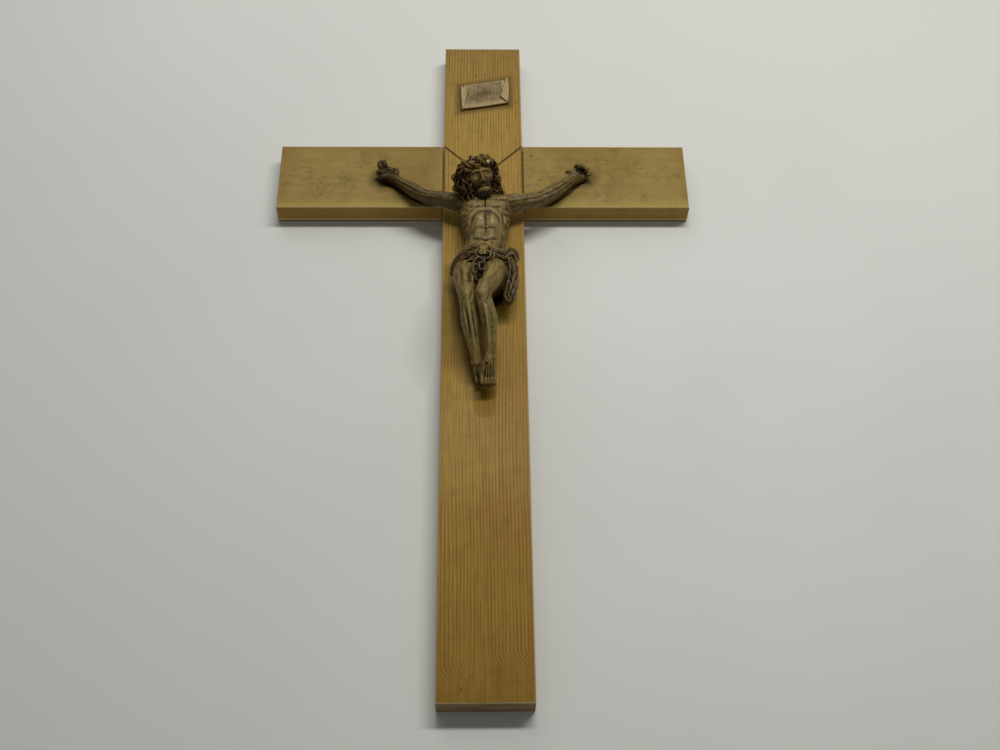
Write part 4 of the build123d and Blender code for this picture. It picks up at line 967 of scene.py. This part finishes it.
def wavyLock(line, radius, strand, rows=90):
    # strand about the lock's line, ending in a curl: line(s) + wave sin p side + 0.6 cos(0.8 p) across
    path = curveThrough(onHead(line), rows)
    along = unit(np.gradient(path, axis=0))
    side = unit(np.cross(along, headFront))
    across = np.cross(along, side)
    run = np.concatenate([[0], np.cumsum(np.linalg.norm(np.diff(path, axis=0), axis=1))])
    share = run / run[-1]
    start, stretch, swing = draws.uniform(0, 2 * np.pi), draws.uniform(0.85, 1.2), draws.uniform(0.7, 1.25)
    phase = 2 * np.pi * run / hair["waveStep"] * stretch + start
    sway = hair["wave"] * swing * smoothStep(0, 6, run) * (1 - 0.3 * smoothStep(0.8, 1.0, share))
    shift = (strand - (hair["strands"] - 1) / 2) * hair["apart"]
    path = path + (sway * np.sin(phase) + shift)[:, None] * side
    path = path + (0.6 * np.cos(phase * 0.8 + 2 * strand))[:, None] * across
    size = radius * draws.uniform(0.75, 1.1) * (0.75 + 0.4 * np.sin(np.pi * share))
    size = size * (1 - 0.5 * smoothStep(0.75, 1.0, share))
    curl = np.linspace(0, 1, 24)[1:, None]
    spin = 2.2 * np.pi * curl
    hook = np.sin(spin) * along[-1] + (1 - np.cos(spin)) * side[-1] * np.sign(start - np.pi)
    hook = path[-1] + 1.1 * (1 - 0.55 * curl) * hook
    path = np.vstack([path, hook + 0.7 * curl * headFront])
    size = np.concatenate([size, size[-1] * (1 - 0.4 * curl[:, 0])])
    return tube(path, size, rows=len(path), sides=12)


shells = [blob(onHead([hair["cap"]["middle"]])[0], hair["cap"]["radii"], 40, 60, headAxes)]
for line in hair["locks"]:
    shells += [wavyLock(line, hair["radius"], strand) for strand in range(hair["strands"])]
    shells.append(tube(onHead(line) - 1.1 * headFront, np.linspace(2.2, 1.2, len(line)), rows=40, sides=14))
places, quads = fuseShells(shells, hair["voxel"], 1)
pieceFrom("carvedHair", places, quads, hairFinish, ["corpus_body"])
print("stage: head and hair")

# Crown: canes wound round each other, with thorns
crown = dict(
    voxel=0.18, rise=5.6, radius=8.4, wind=1.25,
    # for each cane its radius, turns, lift and how far it is pulled in
    canes=[(0.95, 5, -0.3, 0.0), (0.82, 6, 0.0, 0.0), (0.72, 7, 0.2, 0.0), (0.62, 4, 0.5, 0.0),
           (0.8, 5, 2.5, 1.2), (0.7, 6, 3.3, 2.6)],
    thorns=26, thornLength=2.2, thornRadii=[0.42, 0.294, 0.06],
    knotTurn=62.0, knotRise=-0.6, knotRadius=1.0, knotVoxel=0.15,
)
around = np.linspace(0, 2 * np.pi, 241)
crownMiddle = headMiddle + headUp * crown["rise"]
outward = np.cos(around)[:, None] * headAcross + np.sin(around)[:, None] * headFront
shells = []
for cane, (size, turns, lift, pull) in enumerate(crown["canes"]):
    p = turns * around + cane * np.pi / 2
    reach = crown["radius"] - pull + crown["wind"] * np.cos(p) + 0.35 * np.sin(3 * around + cane)
    rise = lift + 1.35 * crown["wind"] * np.sin(p) + 0.5 * np.sin(2 * around + 2 * cane)
    path = crownMiddle + reach[:, None] * outward + rise[:, None] * headUp
    shells.append(tube(path, size * (1 + 0.15 * np.sin(9 * around + cane)), rows=241, sides=10, up=headUp))
for k in range(crown["thorns"]):
    turnAt = 2 * np.pi * (k + 0.3 * np.sin(2.1 * k)) / crown["thorns"]
    out = np.cos(turnAt) * headAcross + np.sin(turnAt) * headFront
    lean = np.cross(headUp, out) * np.sin(1.7 * k) * 0.7 + headUp * np.cos(2.6 * k) * 0.6
    root = crownMiddle + (crown["radius"] + 0.6) * out + headUp * 0.8 * np.sin(3.3 * k)
    tip = root + unit(out + lean) * crown["thornLength"]
    shells.append(tube([root, (root + tip) / 2, tip], crown["thornRadii"], rows=8, sides=8))
places, quads = fuseShells(shells, crown["voxel"], 1)
pieceFrom("thornCrown", places, quads, crownFinish, ["crown_of_thorns"])
# a knot on the crown whose pale colour is a painted glint
turnAt = np.radians(crown["knotTurn"])
knotOut = np.cos(turnAt) * headAcross + np.sin(turnAt) * headFront
knotMiddle = crownMiddle + (crown["radius"] + 2.0) * knotOut + crown["knotRise"] * headUp
places, quads = fuseShells([blob(knotMiddle, np.full(3, crown["knotRadius"]), 16, 20)], crown["knotVoxel"], 1)
pieceFrom("glintKnot", places, quads, glintKnotFinish, ["crown_of_thorns"])
print("stage: crown")

# Loincloth: wrap, wound bands, fan of pleats, loops in front, knot and drape at the left hip
cloth = dict(
    voxel=0.24,
    wrap=[
        (62.6, -0.8, 11.0, 1.2, 16.4, 2.3), (63.4, -1.0, 13.4, -0.2, 18.8, 2.3),
        (67.0, -1.3, 14.5, -0.2, 19.9, 2.3), (71.0, -1.6, 15.2, 0.0, 20.2, 2.25),
        (74.0, -1.6, 15.4, 1.0, 20.0, 2.2), (76.0, -1.6, 14.9, 2.0, 19.2, 2.1),
        (77.0, -1.6, 12.6, 4.0, 17.0, 2.0),
    ],
    # line, radius of a strand, how far the strands wind, strands, turns
    bands=[
        ([(-2.6, 65.4, 21.4), (-7.4, 65.8, 20.2), (-12.0, 68.0, 17.4), (-15.4, 71.4, 13.6),
          (-16.4, 75.0, 9.6)], 0.62, 1.1, 6, 1.0),
        ([(-3.4, 68.6, 21.6), (-8.2, 70.0, 20.2), (-12.6, 73.0, 17.0), (-15.2, 76.6, 12.6)], 0.55, 0.9, 5,
         0.7),
        ([(-4.2, 71.6, 21.0), (-8.4, 73.6, 19.6), (-12.0, 76.4, 16.6)], 0.48, 0.6, 3, 0.6),
        ([(3.0, 65.6, 21.4), (6.4, 68.4, 21.0), (10.4, 67.6, 18.6), (14.4, 65.8, 15.6)], 0.6, 1.0, 5, 0.9),
        ([(3.4, 69.4, 21.8), (7.0, 71.0, 20.8), (11.0, 70.4, 18.0), (14.0, 69.0, 15.4)], 0.5, 0.75, 4, 0.8),
    ],
    fan=dict(voxel=0.18, count=9, foot=(0.5, 70.0, 21.4), footStep=0.55, top=(0.5, 60.5, 18.2), topStep=1.3,
             radii=[0.3, 0.4, 0.575]),
    # curled ends beside the fan
    curls=[
        ([(2.2, 69.0, 22.0), (3.4, 70.6, 22.8), (3.2, 72.6, 22.6), (2.0, 73.2, 22.0)], 0.55),
        ([(4.2, 69.4, 21.8), (5.2, 71.2, 22.4), (4.8, 73.2, 22.0), (3.6, 73.6, 21.6)], 0.55),
        ([(-3.0, 67.6, 21.8), (-4.4, 69.2, 22.4), (-4.2, 71.2, 22.2), (-3.0, 71.8, 21.8)], 0.55),
    ],
    # painted shade: dark blobs in the hollows behind the loops, under the fan and between the thighs
    shadeBlobs=[((-2.5, 80.6, 22.4), (2.8, 6.0, 1.8)), ((0.2, 72.6, 20.6), (2.6, 2.0, 0.8)),
             ((-2.6, 88.6, 18.0), (2.2, 4.4, 2.6)), ((0.5, 66.4, 19.5), (5.0, 3.6, 1.1))],
    loopDarker=0.22,
    loops=[
        ([(-4.6, 86.0, 23.4), (-5.5, 82.6, 24.2), (-5.3, 78.4, 24.6), (-3.8, 75.2, 24.2),
          (-1.8, 74.8, 24.2), (-0.2, 77.2, 24.8), (0.5, 80.6, 25.0), (-0.2, 83.0, 25.0),
          (-1.8, 83.2, 25.0), (-2.6, 81.4, 25.2), (-2.2, 79.2, 25.4), (-1.0, 78.6, 25.2)], 0.78),
        ([(-4.4, 78.0, 24.0), (-3.2, 79.6, 24.8), (-3.4, 82.4, 24.8), (-4.4, 84.4, 24.2)], 0.66),
        ([(-4.6, 85.0, 23.4), (-4.0, 87.4, 23.0), (-2.6, 88.6, 22.6)], 0.75),
    ],
    knot=[
        ([(10.4, 67.0, 17.4), (12.4, 64.8, 17.8), (15.0, 64.2, 16.8), (17.2, 65.2, 15.0),
          (17.8, 67.4, 13.6)], 1.3),
        ([(11.4, 70.0, 17.4), (13.6, 67.4, 17.6), (15.8, 67.4, 16.4), (17.0, 69.8, 14.6)], 1.15),
        ([(12.2, 66.6, 17.4), (14.4, 65.8, 17.4), (16.2, 66.2, 16.0)], 0.85),
        ([(11.8, 72.0, 16.4), (13.6, 69.8, 17.0), (14.8, 70.8, 16.0), (15.0, 73.2, 14.8)], 0.9),
        ([(12.0, 68.2, 15.0), (16.0, 68.4, 13.6)], 2.2),
    ],
    drape=[(12.8, 66.0, 12.0), (13.8, 71.0, 12.6), (14.4, 77.0, 12.2), (14.3, 83.0, 11.6),
           (13.4, 89.0, 11.0), (12.7, 92.6, 10.6)],
    drapeRadii=[2.6, 3.2, 3.6, 3.5, 3.1, 2.3], drapeFlat=[1.5, 1.6, 1.55, 1.5, 1.45, 1.3],
    # rolled edges of the drape
    folds=[
        ([(12.6, 72.0, 16.4), (11.8, 77.0, 16.6), (12.6, 82.0, 16.2), (13.8, 86.6, 15.4),
          (14.2, 91.0, 14.0), (12.8, 94.0, 13.0), (11.4, 92.6, 13.2), (11.0, 89.0, 13.8)], 0.45),
        ([(15.6, 71.0, 15.2), (17.0, 76.0, 14.4), (17.3, 82.0, 13.6), (16.2, 87.6, 12.8)], 0.45),
    ],
)


def pleats(s, t):
    # folds along the drape that wander as they go down, crossed by small crinkles
    folds = 0.08 * np.cos(9 * t + 3 * np.sin(5 * s)) + 0.07 * np.cos(4 * t - 6 * s)
    return 1 + folds + 0.045 * np.cos(34 * s + 3 * np.cos(3 * t))


def wound(line, radius, wind, strands, turns, rows=60):
    # strands wound about a line: line(s) + wind (cos p side + sin p across)
    path = curveThrough(spots(line), rows)
    along = unit(np.gradient(path, axis=0))
    side = unit(np.array([0.0, 0.0, 1.0]) - along * along[:, 2:3])
    across = np.cross(along, side)
    made = []
    for strand in range(strands):
        p = 2 * np.pi * (np.linspace(0, turns, rows) + strand / strands)
        shift = wind * (np.cos(p)[:, None] * side + np.sin(p)[:, None] * across)
        made.append(tube(path + shift, np.full(rows, radius), rows=rows, sides=12))
    return made


shells = [stations(cloth["wrap"], 40, 90)]
for band in cloth["bands"]:
    shells += wound(*band)
for line, radius in cloth["curls"] + cloth["loops"] + cloth["knot"] + cloth["folds"]:
    shells.append(tube(spots(line), np.full(len(line), radius), rows=40, sides=14))
shells.append(tube(spots(cloth["drape"]), cloth["drapeRadii"], rows=60, sides=60, flat=cloth["drapeFlat"],
                   up=(1.0, 0.0, 0.0), ridge=pleats))
clothStrokes = [
    ([(-3.0, 73.4), (-8.0, 75.2)], 0.5, 0.4), ([(3.4, 73.6), (8.0, 74.8), (12.6, 73.8)], 0.5, 0.5),
    ([(-1.4, 70.6), (0.2, 71.8), (0.6, 73.6)], 1.3, 2.6), ([(-4.2, 77.4), (-4.3, 80.6)], 0.6, 1.4),
    ([(-1.1, 79.8), (-0.9, 81.8)], 0.6, 1.4), ([(-3.6, 84.0), (-3.4, 86.0)], 0.6, 1.2),
    ([(-1.4, 84.6), (-1.6, 87.0)], 0.7, 1.4), ([(-2.4, 76.4), (-2.6, 77.6)], 0.5, 1.0),
]
places, quads = fuseShells(shells, cloth["voxel"], 1)
places = relax(carve(places, quads, clothStrokes), quads, 1)
drop = cross["barMiddle"] - places[:, 1]
# darker over the loops
inLoops = bell(places[:, 0], -2.4, 4.2) * smoothStep(73.6, 75.6, drop)
pieceFrom("carvedCloth", places, quads, clothFinish, ["corpus_body"], cloth["loopDarker"] * inLoops)
shadeBlobs = [blob(spot(*middle), radii) for middle, radii in cloth["shadeBlobs"]]
places, quads = fuseShells(shadeBlobs, cloth["voxel"], 1)
pieceFrom("clothShadeBlobs", places, quads, shadeBlobFinish, ["corpus_body"])
fan = cloth["fan"]
shells = []
for k in range(fan["count"]):
    # pleats spread upwards from a narrow foot, the middle ones highest
    shift = k - (fan["count"] - 1) / 2
    foot = np.array(fan["foot"]) + (shift * fan["footStep"], 0, -0.04 * shift * shift)
    top = np.array(fan["top"]) + (shift * fan["topStep"], 0.16 * shift * shift, -0.05 * shift * shift)
    bend = (foot + top) / 2 + (0, 0, 1.1)
    shells.append(tube(spots([foot, bend, top]), fan["radii"], rows=18, sides=10))
places, quads = fuseShells(shells, fan["voxel"], 1)
pieceFrom("carvedFan", places, quads, fanFinish, ["corpus_body"])
print("stage: loincloth")

# Nails: domed heads on round shanks, in the places of the CAD nails
nails = dict(
    voxel=0.15, dome=0.8, shank=[0.6, 0.7],
    # middle of the head, its radius, length
    handNails=[((-53.6, 0.0, 3.9), 1.4, 9.0), ((53.6, 0.0, 3.9), 1.4, 9.0)],
    footNail=[((1.4, 132.5, 14.6), 0.95, 20.0)],
)
for name, node in (("handNails", "hand_nails"), ("footNail", "foot_nail")):
    shells = []
    for middle, radius, length in nails[name]:
        top = spot(*middle)
        shells.append(blob(top, (radius, radius, nails["dome"]), 14, 20))
        shells.append(tube([top - (0, 0, length), top], nails["shank"], rows=8, sides=14, up=(1.0, 0.0, 0.0)))
    places, quads = fuseShells(shells, nails["voxel"], 1)
    pieceFrom(name, places, quads, nailFinish, [node])
print("stage: nails")

# Title scroll: bare plate with curled ends
scroll = dict(
    voxel=0.2, middle=(0.85, 161.6), slant=0.19, halfLength=12.6, halfHeight=9.0, thickness=1.3,
    # rolled edges: along, up, above the wood; radius
    edges=[
        ([(-13.2, 8.0, 1.2), (-12.9, 2.0, 1.7), (-12.6, -4.0, 1.7), (-12.5, -9.0, 1.2)], 0.75),
        ([(13.3, 9.2, 1.5), (13.6, 4.0, 1.9), (13.6, -2.0, 1.9), (13.4, -8.2, 1.3)], 0.85),
        ([(-11.6, 8.9, 0.9), (0.0, 9.0, 0.7), (12.4, 8.8, 0.9)], 0.55),
        ([(-11.6, -8.6, 1.1), (0.0, -8.8, 1.0), (12.6, -8.6, 1.1)], 0.75),
    ],
    # folded flaps: three corners along, up, above the wood
    flaps=[[(-13.0, 7.6, 1.9), (-10.2, 3.0, 1.5), (-12.5, -8.8, 1.9)],
           [(13.4, 9.0, 2.2), (9.6, -3.4, 1.6), (13.2, -8.2, 2.2)]],
)


def onScroll(rows):
    # the ends stand upright, the long edges slant
    along, up, lift = np.asarray(rows, float).T
    x, y = scroll["middle"]
    return np.stack([x + along, y + up + scroll["slant"] * along, cross["face"] + lift], -1)


def scrollShell(rows=60, cols=120):
    # rounded box section swept from end to end, hollowed a little along its middle
    s = np.linspace(-1, 1, rows)[:, None]
    t = np.linspace(0, 2 * np.pi, cols, endpoint=False)[None]
    c, q = np.cos(t), np.sin(t)
    shrink = np.sqrt(np.clip(1 - np.abs(s) ** 30, 0, 1))
    along = scroll["halfLength"] * s + 0 * t
    up = np.sign(c) * np.abs(c) ** 0.3 * scroll["halfHeight"] * shrink
    hollow = 0.3 * np.cos(np.pi / 2 * s) * np.cos(np.pi / 2 * up / scroll["halfHeight"]) * (q > 0)
    lift = scroll["thickness"] / 2 * (1 + np.sign(q) * np.abs(q) ** 0.3 * shrink) - hollow
    return onScroll(np.stack([along, up, lift], -1).reshape(-1, 3)), gridQuads(rows, cols)


def flap(corners, steps=14):
    # thin wedge under a folded flap: thin tubes side by side from one long edge of the triangle to the other
    top, side, foot = (np.array(corner) for corner in corners)
    lines = [np.array([top + (side - top) * t, foot + 0.001 * t]) for t in np.linspace(0, 1, steps)]
    return [tube(onScroll(line), [0.5, 0.5], rows=10, sides=10) for line in lines]


shells = [scrollShell()]
for corners in scroll["flaps"]:
    shells += flap(corners)
for line, radius in scroll["edges"]:
    shells.append(tube(onScroll(line), np.full(len(line), radius), rows=30, sides=12))
places, quads = fuseShells(shells, scroll["voxel"], 2)
along = places[:, 0] - scroll["middle"][0]
up = places[:, 1] - scroll["middle"][1] - scroll["slant"] * along
# painted highlights on the ends and the lower edge, a darker middle
paintedLightAndTone = 0.2 * smoothStep(9.5, 11.5, np.abs(along)) + 0.16 * smoothStep(-5.0, -7.5, up)
paintedLightAndTone -= 0.14 * bell(along, 0.0, 7.0) * bell(up, 0.5, 4.5)
pieceFrom("titleScroll", places, quads, scrollFinish, ["title_scroll"], -paintedLightAndTone)
print("stage: scroll")

# Hidden fasteners keep their CAD shape
fasteners = dict(coat=0.0, coatRoughness=0.1, bump=0.05, bumpHeight=0.0001, steel=toned(150, 148, 142),
                 beech=toned(168, 138, 92), darker=0.7)
for node, kind in (("lap_screws", "steel"), ("corpus_screw", "steel"), ("shoulder_dowels", "beech")):
    finish, place = newFinish(node + "Finish")
    mottle = noise(place, 700.0, 3.0)
    colour = fasteners[kind]
    shade = mixed(mottle, colour, (*(fasteners["darker"] * c for c in colour[:3]), 1.0))
    rough = ramp(mottle, (0.3, 0.35), (0.7, 0.5))
    finishEnd(shade, rough, mottle, dict(fasteners, metal=float(kind == "steel")))
    dress(node, finish)
